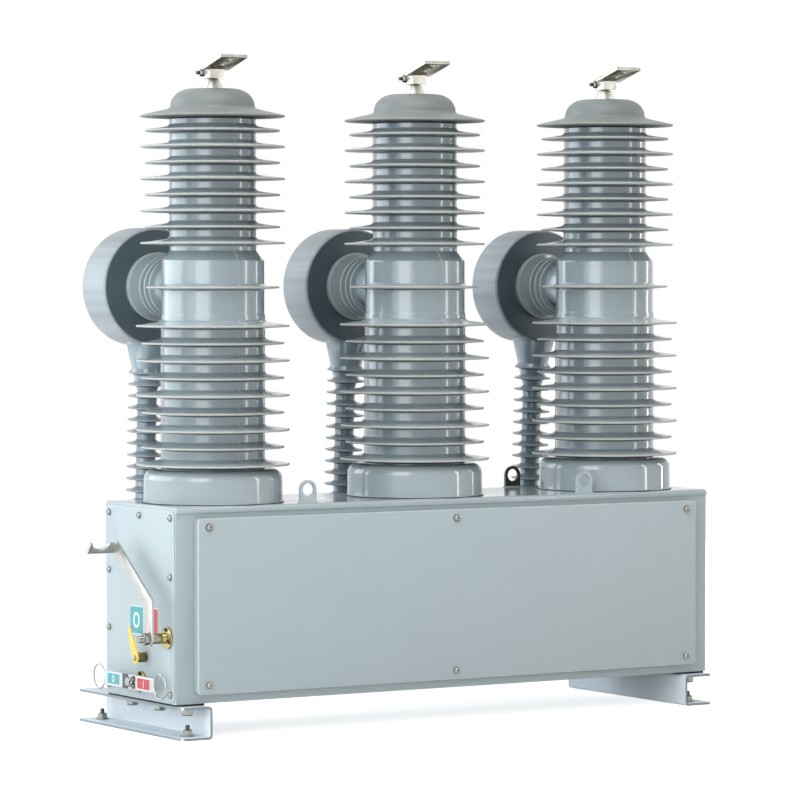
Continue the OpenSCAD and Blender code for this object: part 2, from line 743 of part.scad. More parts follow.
module lever_shaft() color("Gray") on_panel(lever_y, lever_z) {
    translate([0, 0, -shaft_in]) cylinder(d = shaft_d, h = shaft_in + shaft_l);
    translate([0, 0, -end_play - keep_w]) cylinder(d = keep_d, h = keep_w);
    translate([0, 0, bearing_l + end_play]) cylinder(d = keep_d, h = lever_out - bearing_l - end_play);
    translate([0, 0, lever_out + lever_t]) cylinder(d = lever_nut_d, h = lever_nut_t, $fn = 6);
}

// Outline of the lever bar: round at the shaft, bent once, square at the fork.
module lever_outline() {
    half = lever_w / 2;
    along = heading(lever_angle);
    across = heading(lever_angle + 90);
    bend = [lever_up, 0];
    tip = bend + lever_slope * along;
    polygon(concat(
        [for (k = [0 : lever_steps]) half * heading(90 + 180 * k / lever_steps)],
        [for (k = [0 : lever_steps / 2]) bend + half * heading(-90 + lever_angle * 2 * k / lever_steps)],
        [tip - half * across, tip + half * across, bend + half * [-tan(lever_angle / 2), 1]]));
}

// Fork tab: its x runs out from the lever and its y up; the notch is a round bite.
module fork_outline() {
    difference() {
        square([tab_l, tab_h]);
        translate([tab_l - notch_edge - notch_w / 2, tab_h - notch_h + notch_r]) circle(notch_r);
    }
}

module charging_lever() color("Silver") on_panel(lever_y, lever_z) {
    difference() {
        translate([0, 0, lever_out]) linear_extrude(lever_t) lever_outline();
        translate([0, 0, lever_out - eps]) cylinder(d = shaft_d, h = lever_t + 2 * eps);
    }
    translate([lever_up, 0, lever_out + lever_t / 2]) rotate([0, 0, lever_angle])
        translate([lever_slope - lever_t - lever_end, 0, 0]) rotate([0, -90, 180])
            translate([0, -tab_h / 2, 0])
            linear_extrude(lever_t) fork_outline();
}

module pointer_boss() color("Goldenrod") on_panel(pointer_y, pointer_z)
    difference() {
        cylinder(d = boss_d, h = boss_l);
        translate([0, 0, boss_l - pin_l - end_play])
            cylinder(d = pin_d + 2 * run_gap, h = pin_l + end_play + eps);
    }

module position_pointer() color("Gold") on_panel(pointer_y, pointer_z) rotate([0, 0, pointer_tilt]) {
    lean = asin((pointer_r - pointer_tip_r) / (pointer_l - pointer_tip_r));
    reach = pointer_l - pointer_tip_r;
    translate([0, 0, pointer_out]) {
        cylinder(r = pointer_r, h = pointer_t);
        translate([reach, 0, 0]) cylinder(r = pointer_tip_r, h = pointer_t);
        linear_extrude(pointer_t) polygon([
            [pointer_r * sin(lean), pointer_r * cos(lean)],
            [reach + pointer_tip_r * sin(lean), pointer_tip_r * cos(lean)],
            [reach + pointer_tip_r * sin(lean), -pointer_tip_r * cos(lean)],
            [pointer_r * sin(lean), -pointer_r * cos(lean)]]);
        cylinder(d = pointer_nut_d, h = pointer_t + pointer_nut_t, $fn = 6);
    }
    translate([0, 0, boss_l - pin_l]) cylinder(d = pin_d, h = pin_l + pointer_gap + pointer_t / 2);
}

module rocker_bearing() color("Goldenrod") on_panel(rocker_y, rocker_z)
    difference() {
        union() {
            cylinder(d = rocker_flange_d, h = bearing_flange_t);
            cylinder(d = rocker_bearing_d, h = rocker_bearing_l);
        }
        translate([0, 0, rocker_bearing_l - rocker_pin_l - end_play])
            cylinder(d = rocker_pin_d + 2 * run_gap, h = rocker_pin_l + end_play + eps);
    }

module trip_rocker() color("WhiteSmoke") on_panel(rocker_y, rocker_z) {
    translate([0, 0, rocker_out + rocker_t / 2]) {
        cube([rocker_h, rocker_l, rocker_t], center = true);
        for (s = [-1, 1]) translate([0, s * ring_x, 0]) rotate_extrude() translate([ring_r, 0])
            circle(d = ring_wire);
        cylinder(d = rocker_nut_d, h = rocker_t / 2 + rocker_nut_t, $fn = 6);
    }
    translate([0, 0, rocker_bearing_l - rocker_pin_l])
        cylinder(d = rocker_pin_d, h = rocker_pin_l + rocker_gap + rocker_t / 2);
}

module at_pole(k) translate([k * pole_pitch, 0, 0]) children();

module pole_base_a() at_pole(-1) pole_base();
module pole_base_b() at_pole(0) pole_base();
module pole_base_c() at_pole(1) pole_base();
module pole_insulator_a() at_pole(-1) pole_insulator();
module pole_insulator_b() at_pole(0) pole_insulator();
module pole_insulator_c() at_pole(1) pole_insulator();
module pole_cap_a() at_pole(-1) pole_cap();
module pole_cap_b() at_pole(0) pole_cap();
module pole_cap_c() at_pole(1) pole_cap();
module terminal_stud_a() at_pole(-1) terminal_stud();
module terminal_stud_b() at_pole(0) terminal_stud();
module terminal_stud_c() at_pole(1) terminal_stud();
module terminal_clamp_a() at_pole(-1) terminal_clamp();
module terminal_clamp_b() at_pole(0) terminal_clamp();
module terminal_clamp_c() at_pole(1) terminal_clamp();
module ct_ring_a() at_pole(-1) ct_ring();
module ct_ring_b() at_pole(0) ct_ring();
module ct_ring_c() at_pole(1) ct_ring();
module ct_support_a() at_pole(-1) ct_support();
module ct_support_b() at_pole(0) ct_support();
module ct_support_c() at_pole(1) ct_support();
module ct_base_a() at_pole(-1) ct_base();
module ct_base_b() at_pole(0) ct_base();
module ct_base_c() at_pole(1) ct_base();
module rear_terminal_a() at_pole(-1) rear_terminal();
module rear_terminal_b() at_pole(0) rear_terminal();
module rear_terminal_c() at_pole(1) rear_terminal();

foot_channel_left();
foot_channel_right();
foot_packing_left();
foot_packing_right();
cabinet_shell();
cabinet_top();
front_cover();
operating_panel();
end_plate();
ct_shelf();
pole_base_a();
pole_base_b();
pole_base_c();
pole_insulator_a();
pole_insulator_b();
pole_insulator_c();
pole_cap_a();
pole_cap_b();
pole_cap_c();
terminal_stud_a();
terminal_stud_b();
terminal_stud_c();
terminal_clamp_a();
terminal_clamp_b();
terminal_clamp_c();
ct_ring_a();
ct_ring_b();
ct_ring_c();
ct_support_a();
ct_support_b();
ct_support_c();
ct_base_a();
ct_base_b();
ct_base_c();
rear_terminal_a();
rear_terminal_b();
rear_terminal_c();
lever_bearing();
lever_shaft();
charging_lever();
pointer_boss();
position_pointer();
rocker_bearing();
trip_rocker();
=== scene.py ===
# Outdoor three-pole circuit breaker: the looks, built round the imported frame. Metres, +Z up, +Y to the back.
import math

import bmesh
import bpy
from mathutils import Matrix, Vector


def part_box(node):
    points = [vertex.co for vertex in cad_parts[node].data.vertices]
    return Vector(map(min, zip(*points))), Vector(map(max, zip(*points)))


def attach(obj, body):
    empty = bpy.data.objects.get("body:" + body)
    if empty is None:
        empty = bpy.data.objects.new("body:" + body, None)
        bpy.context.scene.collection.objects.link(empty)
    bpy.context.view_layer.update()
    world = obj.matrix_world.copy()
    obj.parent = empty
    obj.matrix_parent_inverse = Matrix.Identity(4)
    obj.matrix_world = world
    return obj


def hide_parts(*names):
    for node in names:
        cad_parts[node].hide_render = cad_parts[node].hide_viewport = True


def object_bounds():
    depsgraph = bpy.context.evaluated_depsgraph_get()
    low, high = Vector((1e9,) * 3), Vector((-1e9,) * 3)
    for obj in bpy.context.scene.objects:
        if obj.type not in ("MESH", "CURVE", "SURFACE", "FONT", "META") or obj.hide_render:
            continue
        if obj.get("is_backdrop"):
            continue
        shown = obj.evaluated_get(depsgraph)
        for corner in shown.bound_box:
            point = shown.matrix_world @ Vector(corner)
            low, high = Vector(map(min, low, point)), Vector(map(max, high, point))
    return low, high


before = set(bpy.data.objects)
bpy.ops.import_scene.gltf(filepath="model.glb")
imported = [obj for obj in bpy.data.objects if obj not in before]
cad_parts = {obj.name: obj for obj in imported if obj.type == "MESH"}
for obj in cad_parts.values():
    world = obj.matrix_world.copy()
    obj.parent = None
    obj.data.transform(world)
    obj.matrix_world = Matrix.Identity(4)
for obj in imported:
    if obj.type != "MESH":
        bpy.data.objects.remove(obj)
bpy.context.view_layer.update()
MM = 0.001


# Camera. A long lens looks at the breaker from the front left, from the height of the poles' middle, so that
# the operating panel on the left end shows.
def placed(name, data):
    """A new object of the scene that holds some data."""
    made = bpy.data.objects.new(name, data)
    bpy.context.scene.collection.objects.link(made)
    return made


EYE = Vector((-5.530, -8.845, 1.149))
TURN = math.radians(32.0)
DIP = math.radians(1.82)
FOCAL_PX = 3998
FRAME_PX = 800
SENSOR = 36.0
gaze = Vector((math.sin(TURN) * math.cos(DIP), math.cos(TURN) * math.cos(DIP), -math.sin(DIP)))
camera = placed("camera", bpy.data.cameras.new("camera"))
camera.data.sensor_width = SENSOR
camera.data.lens = SENSOR * FOCAL_PX / FRAME_PX
camera.data.clip_end = 200.0
camera.location = EYE
camera.rotation_euler = gaze.to_track_quat("-Z", "Y").to_euler()
bpy.context.scene.camera = camera
bpy.context.scene.view_settings.view_transform = "Standard"


# Studio. A white floor that takes the shadow, a white surround that is brighter on the left, and softboxes
# round the breaker. The tall ones draw the upright highlights on the glossy poles, and a low one lights the
# foot of the operating panel.
def linear(code):
    """The linear colour of an sRGB hex value."""
    parts = [int(code[i : i + 2], 16) / 255 for i in (0, 2, 4)]
    return tuple(c / 12.92 if c <= 0.04045 else ((c + 0.055) / 1.055) ** 2.4 for c in parts) + (1.0,)


def add(tree, kind, inputs=None, **settings):
    """Adds a node with its settings; an input takes a value or another node's socket."""
    made = tree.nodes.new(kind)
    for name, value in settings.items():
        setattr(made, name, value)
    for name, value in (inputs or {}).items():
        if isinstance(value, bpy.types.NodeSocket):
            tree.links.new(value, made.inputs[name])
        else:
            made.inputs[name].default_value = value
    return made


def seen_directly(tree):
    """1 for rays from the camera, a mirror or glass, 0 for those that carry light."""
    rays = add(tree, "ShaderNodeLightPath").outputs
    mirrors = {0: rays["Is Glossy Ray"], 1: rays["Is Transmission Ray"]}
    mirrored = add(tree, "ShaderNodeMath", mirrors, operation="ADD").outputs[0]
    either = {0: rays["Is Camera Ray"], 1: mirrored}
    return add(tree, "ShaderNodeMath", either, operation="ADD", use_clamp=True).outputs[0]


WHITE = (1.0, 1.0, 1.0, 1.0)
FLOOR_HALF = 5.0
FLOOR_WHITE = linear("eceded")
FLOOR_LIFT = 0.7
FADE_FROM, FADE_TO = 1.5, 3.0
floor_mesh = bpy.data.meshes.new("floor")
corners = ((-1, -1), (1, -1), (1, 1), (-1, 1))
floor_mesh.from_pydata([(x * FLOOR_HALF, y * FLOOR_HALF, 0.0) for x, y in corners], [], [(0, 1, 2, 3)])
white_floor = bpy.data.materials.new("white studio floor")
white_floor.use_nodes = True
tree = white_floor.node_tree
tree.nodes.clear()
place = add(tree, "ShaderNodeTexCoord").outputs["Object"]
away = add(tree, "ShaderNodeVectorMath", {0: place}, operation="LENGTH")
fade = add(
    tree,
    "ShaderNodeMapRange",
    {"Value": away.outputs["Value"], "From Min": FADE_FROM, "From Max": FADE_TO, "To Min": FLOOR_LIFT},
)
lift = add(tree, "ShaderNodeMath", {0: seen_directly(tree), 1: fade.outputs[0]}, operation="MULTIPLY")
glow = add(tree, "ShaderNodeEmission", {"Color": WHITE, "Strength": lift.outputs[0]})
paint = add(tree, "ShaderNodeBsdfDiffuse", {"Color": FLOOR_WHITE})
both = add(tree, "ShaderNodeAddShader", {0: glow.outputs[0], 1: paint.outputs[0]})
add(tree, "ShaderNodeOutputMaterial", {"Surface": both.outputs[0]})
floor_mesh.materials.append(white_floor)
placed("floor", floor_mesh)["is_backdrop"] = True

LEFT_LEVEL, RIGHT_LEVEL = 0.46, 0.12
BRIGHT_SIDE = (-0.85, -0.5, 0.15)
world = bpy.data.worlds.new("white surround")
bpy.context.scene.world = world
world.use_nodes = True
tree = world.node_tree
tree.nodes.clear()
way = add(tree, "ShaderNodeTexCoord").outputs["Generated"]
towards = add(tree, "ShaderNodeVectorMath", {0: way, 1: BRIGHT_SIDE}, operation="DOT_PRODUCT")
fill = add(
    tree,
    "ShaderNodeMapRange",
    {"Value": towards.outputs["Value"], "From Min": -1.0, "To Min": RIGHT_LEVEL, "To Max": LEFT_LEVEL},
)
level = add(tree, "ShaderNodeMapRange", {"Value": seen_directly(tree), "To Min": fill.outputs[0]})
sky = add(tree, "ShaderNodeBackground", {"Color": WHITE, "Strength": level.outputs[0]})
add(tree, "ShaderNodeOutputWorld", {"Surface": sky.outputs[0]})

AIM_Z = 1.0
# Each softbox: its name, its bearing from the front towards the right in degrees, the height of its middle,
# its distance, width and height, its watts and its tint.
SOFTBOXES = (
    ("softbox_front_left", -55, 2.5, 6.0, 3.1, 4.2, 112, "f5faff"),
    ("softbox_front_wide", -60, 2.6, 6.6, 6.6, 4.2, 88, "fbfdff"),
    ("softbox_rear_left", -129, 2.6, 5.5, 6.4, 4.2, 240, "e9f4ff"),
    ("softbox_front_right", 46, 2.1, 6.0, 0.5, 3.6, 40, "ffffff"),
    ("softbox_right", 86, 2.1, 5.5, 0.5, 3.6, 40, "ffffff"),
    ("softbox_top", -32, 5.5, 2.5, 4.5, 3.0, 150, "ffffff"),
    ("softbox_low_left", -96, 0.2, 2.2, 1.4, 0.3, 4, "f0f8ff"),
)
for name, bearing, height, distance, width, tall, watts, tint in SOFTBOXES:
    lamp = bpy.data.lights.new(name, "AREA")
    lamp.shape = "RECTANGLE"
    lamp.size = width
    lamp.size_y = tall
    lamp.energy = watts
    lamp.color = linear(tint)[:3]
    box = placed(name, lamp)
    angle = math.radians(bearing)
    box.location = (math.sin(angle) * distance, -math.cos(angle) * distance, height)
    box.rotation_euler = (Vector((0.0, 0.0, AIM_Z)) - box.location).to_track_quat("-Z", "Y").to_euler()


# Foot channels. Two press-bent steel channels carry the cabinet, open side outwards. They are enamelled a
# paler grey than the cabinet. Their edges are slightly rounded and carry a paler enamel as a painted
# highlight, and the cut faces carry a darker one as painted shade.
def finished(piece, body, slot, *nodes):
    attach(piece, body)
    if nodes:
        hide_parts(*nodes)


def applied(piece):
    """Keeps what a piece's modifiers make as its plain mesh."""
    bpy.context.view_layer.update()
    made = piece.evaluated_get(bpy.context.evaluated_depsgraph_get())
    piece.data = bpy.data.meshes.new_from_object(made)
    piece.modifiers.clear()


def softened(name, node, radius, finish, pale_edge=None):
    """A copy of a CAD node with its triangles joined to whole faces and its edges rounded, radius in mm. The
    edges take a paler finish of their own where one is given, a painted highlight."""
    shape = bmesh.new()
    shape.from_mesh(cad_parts[node].data)
    bmesh.ops.remove_doubles(shape, verts=shape.verts, dist=1e-5)
    bmesh.ops.dissolve_limit(shape, angle_limit=math.radians(0.5), verts=shape.verts, edges=shape.edges)
    for face in shape.faces:
        face.smooth = True
    mesh = bpy.data.meshes.new(name)
    shape.to_mesh(mesh)
    shape.free()
    mesh.materials.append(finish)
    piece = placed(name, mesh)
    edge = piece.modifiers.new("edge", "BEVEL")
    if pale_edge:
        mesh.materials.append(pale_edge)
        edge.material = 1
    edge.width = radius * MM
    edge.segments = 2
    edge.limit_method = "ANGLE"
    edge.angle_limit = math.radians(35)
    edge.harden_normals = True
    applied(piece)
    return piece


def new_finish(name):
    """A new material: itself, its node tree, its shader and the place on the piece."""
    finish = bpy.data.materials.new(name)
    finish.use_nodes = True
    tree = finish.node_tree
    return finish, tree, tree.nodes["Principled BSDF"], add(tree, "ShaderNodeTexCoord").outputs["Object"]


def shade(code, times):
    """The linear colour of a hex value, made paler or deeper by a factor."""
    return tuple(min(1.0, c * times) for c in linear(code)[:3]) + (1.0,)


def enamel(name, code, gloss, shine=0.5):
    """Sprayed stoving enamel on sheet steel: faint orange peel, slow drifts of tone and a few pale specks.
    The colours of a Mix node are its inputs 6 and 7 and its output 2."""
    PEEL = 2.5 * MM
    CLOUD = 260 * MM
    SPECK_APART = 45 * MM
    SPECK = 0.02
    finish, tree, shader, place = new_finish(name)
    cloud = add(
        tree, "ShaderNodeTexNoise", {"Vector": place, "Scale": 1 / CLOUD, "Detail": 4.0, "Roughness": 0.6}
    )
    tones = {0: cloud.outputs[0], 6: shade(code, 0.95), 7: shade(code, 1.05)}
    tone = add(tree, "ShaderNodeMix", tones, data_type="RGBA")
    cells = add(tree, "ShaderNodeTexVoronoi", {"Vector": place, "Scale": 1 / SPECK_APART, "Randomness": 1.0})
    speck = add(
        tree,
        "ShaderNodeMapRange",
        {"Value": cells.outputs[0], "From Min": SPECK, "From Max": 2 * SPECK, "To Min": 0.5, "To Max": 0.0},
    )
    chip = tuple(c + (1 - c) * 0.5 for c in linear(code)[:3]) + (1.0,)
    chipped = add(tree, "ShaderNodeMix", {0: speck.outputs[0], 6: tone.outputs[2], 7: chip}, data_type="RGBA")
    tree.links.new(chipped.outputs[2], shader.inputs["Base Color"])
    drift = {"From Min": 0.3, "From Max": 0.7, "To Min": gloss - 0.05, "To Max": gloss + 0.06}
    dull = add(tree, "ShaderNodeMapRange", {"Value": cloud.outputs[0], **drift})
    tree.links.new(dull.outputs[0], shader.inputs["Roughness"])
    peel = add(tree, "ShaderNodeTexNoise", {"Vector": place, "Scale": 1 / PEEL, "Detail": 1.0})
    skin = add(tree, "ShaderNodeBump", {"Height": peel.outputs[0], "Strength": 0.06, "Distance": 0.2 * MM})
    tree.links.new(skin.outputs[0], shader.inputs["Normal"])
    shader.inputs["IOR"].default_value = 1.5
    shader.inputs["Specular IOR Level"].default_value = shine
    return finish


def two_tone(piece, second, chosen):
    """Gives another finish to the faces whose middle is chosen."""
    piece.data.materials.append(second)
    for face in piece.data.polygons:
        if chosen(face.center):
            face.material_index = len(piece.data.materials) - 1


FOOT_EDGE = 1.4
ON_FACE = 0.5 * MM
foot_enamel = enamel("pale grey stoving enamel on the feet", "cad2d7", 0.42)
# The paler enamel on the rounded edges is a painted highlight.
edge_highlight_enamel = enamel("pale enamel painted along the edges as a highlight", "d3dadd", 0.3)
# The darker enamel on the cut faces of the flanges and ends is painted shade.
edge_shade_enamel = enamel("darker enamel painted on cut edges as shade", "7d888d", 0.6)
for side, outer in (("left", 0), ("right", 1)):
    node = "foot_channel_" + side
    low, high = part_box(node)
    rim = (low, high)[outer][0]
    foot = softened("foot_" + side, node, FOOT_EDGE, foot_enamel, edge_highlight_enamel)
    two_tone(
        foot,
        edge_shade_enamel,
        lambda at: abs(at.x - rim) < ON_FACE or min(at.y - low[1], high[1] - at.y) < ON_FACE,
    )
    finished(foot, "breaker", "foot", node)


# Packing strips. A strip of black rubber lies between each foot and the cabinet, so that the enamel does
# not chafe. It is moulded, near black and matt. Its grit is drawn coarser than the real one, which would
# not show.
GRIT = 1.5 * MM
packing_rubber, tree, shader, place = new_finish("black moulded rubber")
grit = add(tree, "ShaderNodeTexNoise", {"Vector": place, "Scale": 1 / GRIT, "Detail": 2.0})
tones = {0: grit.outputs[0], 6: linear("121313"), 7: linear("2a2b2c")}
tone = add(tree, "ShaderNodeMix", tones, data_type="RGBA")
tree.links.new(tone.outputs[2], shader.inputs["Base Color"])
rough = add(tree, "ShaderNodeBump", {"Height": grit.outputs[0], "Strength": 0.3, "Distance": 0.3 * MM})
tree.links.new(rough.outputs[0], shader.inputs["Normal"])
shader.inputs["Roughness"].default_value = 0.8
for side in ("left", "right"):
    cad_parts["foot_packing_" + side].material_slots[0].material = packing_rubber


# Cabinet. A folded sheet-steel case holds the mechanism: shell, top plate with a bent front lip and four
# lugs, a pan-shaped front cover, a plate on each end and a shelf behind. All of it is enamelled grey,
# glossier on the top plate, with a paler enamel along its rounded edges as a painted highlight, and the two
# rear lugs are near black.
SHEET_EDGE, COVER_EDGE = 1.3, 2.0
LUG_CLEAR = 1.0 * MM
cabinet_enamel = enamel("grey stoving enamel on sheet steel", "a7b2b4", 0.52, 0.35)
lid_enamel = enamel("gloss grey enamel on the top plate", "a5b1b4", 0.1)
blackened = enamel("blackened steel", "2c3031", 0.34)
# Every rounded edge of the case takes the paler enamel as a painted highlight.
for name, node, slot, edge, finish in (
    ("cabinet_case", "cabinet_shell", "cabinet", SHEET_EDGE, cabinet_enamel),
    ("cabinet_lid", "cabinet_top", "cabinet", SHEET_EDGE, lid_enamel),
    ("cabinet_cover", "front_cover", "cover", COVER_EDGE, cabinet_enamel),
    ("operating_plate", "operating_panel", "panel", SHEET_EDGE, cabinet_enamel),
    ("blank_plate", "end_plate", "panel", SHEET_EDGE, cabinet_enamel),
    ("rear_shelf", "ct_shelf", "shelf", SHEET_EDGE, cabinet_enamel),
):
    finished(softened(name, node, edge, finish, edge_highlight_enamel), "breaker", slot, node)
lid_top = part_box("pole_base_b")[0][2]
two_tone(bpy.data.objects["cabinet_lid"], blackened, lambda at: at.z > lid_top + LUG_CLEAR and at.y > 0)


# Seals. A bead of grey silicone closes the joint under the rim of the front cover and of each end plate.
# It is squeezed out by the screws and left as it is.
def new_tree(name, kinds):
    """A Geometry Nodes tree with a geometry and some named inputs, and the sockets of its inputs."""
    tree = bpy.data.node_groups.new(name, "GeometryNodeTree")
    for label, kind in {"Geometry": "Geometry", **kinds}.items():
        tree.interface.new_socket(label, in_out="INPUT", socket_type="NodeSocket" + kind)
    tree.interface.new_socket("Geometry", in_out="OUTPUT", socket_type="NodeSocketGeometry")
    return tree, add(tree, "NodeGroupInput").outputs


def dressed(tree, shape, finish, tip_finish=None):
    """Ends a tree: makes its instances real and gives them their finish, and the faces marked tip another."""
    real = add(tree, "GeometryNodeRealizeInstances", {"Geometry": shape})
    last = add(tree, "GeometryNodeSetMaterial", {"Geometry": real.outputs[0], "Material": finish})
    if tip_finish:
        tips = add(tree, "GeometryNodeInputNamedAttribute", {"Name": "tip"}, data_type="BOOLEAN")
        tipped = {"Selection": tips.outputs["Attribute"], "Material": tip_finish}
        last = add(tree, "GeometryNodeSetMaterial", {"Geometry": last.outputs[0], **tipped})
    add(tree, "NodeGroupOutput", {"Geometry": last.outputs[0]})


def grown(name, seed, tree, inputs):
    """Runs a Geometry Nodes tree on a seed mesh and keeps the result as a plain mesh, faces outwards."""
    piece = placed(name, seed)
    maker = piece.modifiers.new(name, "NODES")
    maker.node_group = tree
    for socket in tree.interface.items_tree:
        if socket.in_out == "INPUT" and socket.name in inputs:
            maker[socket.identifier] = inputs[socket.name]
    applied(piece)
    shape = bmesh.new()
    shape.from_mesh(piece.data)
    bmesh.ops.recalc_face_normals(shape, faces=shape.faces)
    for face in shape.faces:
        face.smooth = True
    shape.to_mesh(piece.data)
    shape.free()
    piece.data.set_sharp_from_angle(angle=math.radians(38))
    return piece


def round_corners(width, height, radius):
    """Outline of a rectangle with round corners, in mm round its middle."""
    points = []
    for corner, (x, y) in enumerate(((1, 1), (-1, 1), (-1, -1), (1, -1))):
        middle_x = x * (width / 2 - radius)
        middle_y = y * (height / 2 - radius)
        for k in range(5):
            t = math.radians(90 * corner + 22.5 * k)
            points.append((middle_x + radius * math.cos(t), middle_y + radius * math.sin(t)))
    return points


beading, given = new_tree("sealant bead", {"Bead Radius": "Float", "Finish": "Material"})
route = add(beading, "GeometryNodeMeshToCurve", {"Mesh": given["Geometry"]})
cross = add(beading, "GeometryNodeCurvePrimitiveCircle", {"Resolution": 10, "Radius": given["Bead Radius"]})
run = {"Curve": route.outputs[0], "Profile Curve": cross.outputs[0]}
swept = add(beading, "GeometryNodeCurveToMesh", run)
dressed(beading, swept.outputs[0], given["Finish"])

# Silicone that set as it was squeezed out: satin, with slow smears of tone.
SMEAR = 20 * MM
sealant, tree, shader, place = new_finish("grey silicone sealant")
smear = add(tree, "ShaderNodeTexNoise", {"Vector": place, "Scale": 1 / SMEAR, "Detail": 2.0})
tones = {0: smear.outputs[0], 6: linear("79858a"), 7: linear("9ba7ab")}
tone = add(tree, "ShaderNodeMix", tones, data_type="RGBA")
tree.links.new(tone.outputs[2], shader.inputs["Base Color"])
shader.inputs["Roughness"].default_value = 0.55

BEAD_R, COVER_CORNER, PANEL_CORNER = 1.5, 8.0, 15.0
ALONG = (Vector((1, 0, 0)), Vector((0, 1, 0)))
# Each bead: its name, node, slot and corner radius, the axis of its width and the side of the node it is on.
for name, node, slot, corner, across, face in (
    ("cover_seal", "front_cover", "cover", COVER_CORNER, 0, 1),
    ("operating_seal", "operating_panel", "panel", PANEL_CORNER, 1, 1),
    ("blank_seal", "end_plate", "panel", PANEL_CORNER, 1, 0),
):
    low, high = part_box(node)
    middle = (low + high) / 2
    middle[1 - across] = (low, high)[face][1 - across]
    loop = round_corners((high[across] - low[across]) / MM, (high[2] - low[2]) / MM, corner)
    seed = bpy.data.meshes.new(name)
    seed.from_pydata(
        [middle + ALONG[across] * u * MM + Vector((0, 0, v * MM)) for u, v in loop],
        [(k, (k + 1) % len(loop)) for k in range(len(loop))],
        [],
    )
    bead = grown(name, seed, beading, {"Bead Radius": BEAD_R * MM, "Finish": sealant})
    finished(bead, "breaker", slot)


# Poles. Each pole stands on a cast drum with a rubber ring under it. Its column is one moulding of grey
# insulating resin with long and short sheds by turns, a plain housing in the middle and a ribbed arm that
# leaves it to the back.
WHEEL = 1.0
turning, given = new_tree("turned piece", {"Sides": "Int", "Finish": "Material"})
section = add(turning, "GeometryNodeMeshToCurve", {"Mesh": given["Geometry"]})
wheel = add(turning, "GeometryNodeCurvePrimitiveCircle", {"Resolution": given["Sides"], "Radius": WHEEL})
level = add(turning, "GeometryNodeSetCurveNormal", {"Curve": wheel.outputs[0]}, mode="Z_UP")
run = {"Curve": level.outputs[0], "Profile Curve": section.outputs[0]}
swept = add(turning, "GeometryNodeCurveToMesh", run)
closed = add(turning, "GeometryNodeMergeByDistance", {"Geometry": swept.outputs[0], "Distance": 0.01 * MM})
dressed(turning, closed.outputs[0], given["Finish"])


def turned(name, outline, sides, finish, place):
    """A turned piece. outline lists radius and height in mm and a rim mark from 0 to 1; place moves it."""
    seed = bpy.data.meshes.new(name)
    seed.from_pydata(
        [(r * MM - WHEEL, -h * MM, 0.0) for r, h, mark in outline],
        [(i, i + 1) for i in range(len(outline) - 1)],
        [],
    )
    seed.attributes.new("rim", "FLOAT", "POINT").data.foreach_set("value", [mark for r, h, mark in outline])
    piece = grown(name, seed, turning, {"Sides": sides, "Finish": finish})
    piece.data.transform(place)
    return piece


def arc(r, h, radius, start, end, steps, mark=0.0):
    """Outline points of an arc round (r, h), angles in degrees from the outward direction."""
    turns = [math.radians(start + (end - start) * k / steps) for k in range(steps + 1)]
    return [(r + radius * math.cos(t), h + radius * math.sin(t), mark) for t in turns]


def shed(core, tip, h, rise, fillet):
    """Outline of one shed: nearly flat below, round at the tip, rising on top to a hollow curve at its root.
    A short straight band at each end keeps the shading of the core true."""
    TIP, UNDER, RIM, BAND = 5.0, 3.0, 4.5, 0.8
    CURVE_LOW, PULL_R, PULL_H, CURVE_STEPS = 1.8, 1.5, 0.5, 5
    SLOPED = 0.85
    half = TIP / 2
    root = h + half + rise
    slope = rise * SLOPED / (tip - half - core - 2 * fillet)
    low_slope = UNDER / (tip - half - core - fillet)
    root_curve = []
    for k in range(CURVE_STEPS + 1):
        t = k / CURVE_STEPS
        s = 1 - t
        r = core + 2 * fillet * s * s + 2 * s * t * PULL_R
        root_curve.append((r, root - CURVE_LOW * s * s + 2 * s * t * PULL_H + fillet * t * t, 0.0))
    return (
        [(core, h - half - UNDER - fillet - BAND, 0.0)]
        + arc(core + fillet, h - half - UNDER - fillet, fillet, 180, 90, 4)
        + [(tip - RIM, h - half - (RIM - half) * low_slope, 0.7)]
        + arc(tip - half, h, half, -90, 90, 6, 1.0)
        + [(tip - RIM, h + half + (RIM - half) * slope, 0.1)]
        + root_curve
        + [(core, root + fillet + BAND, 0.0)]
    )


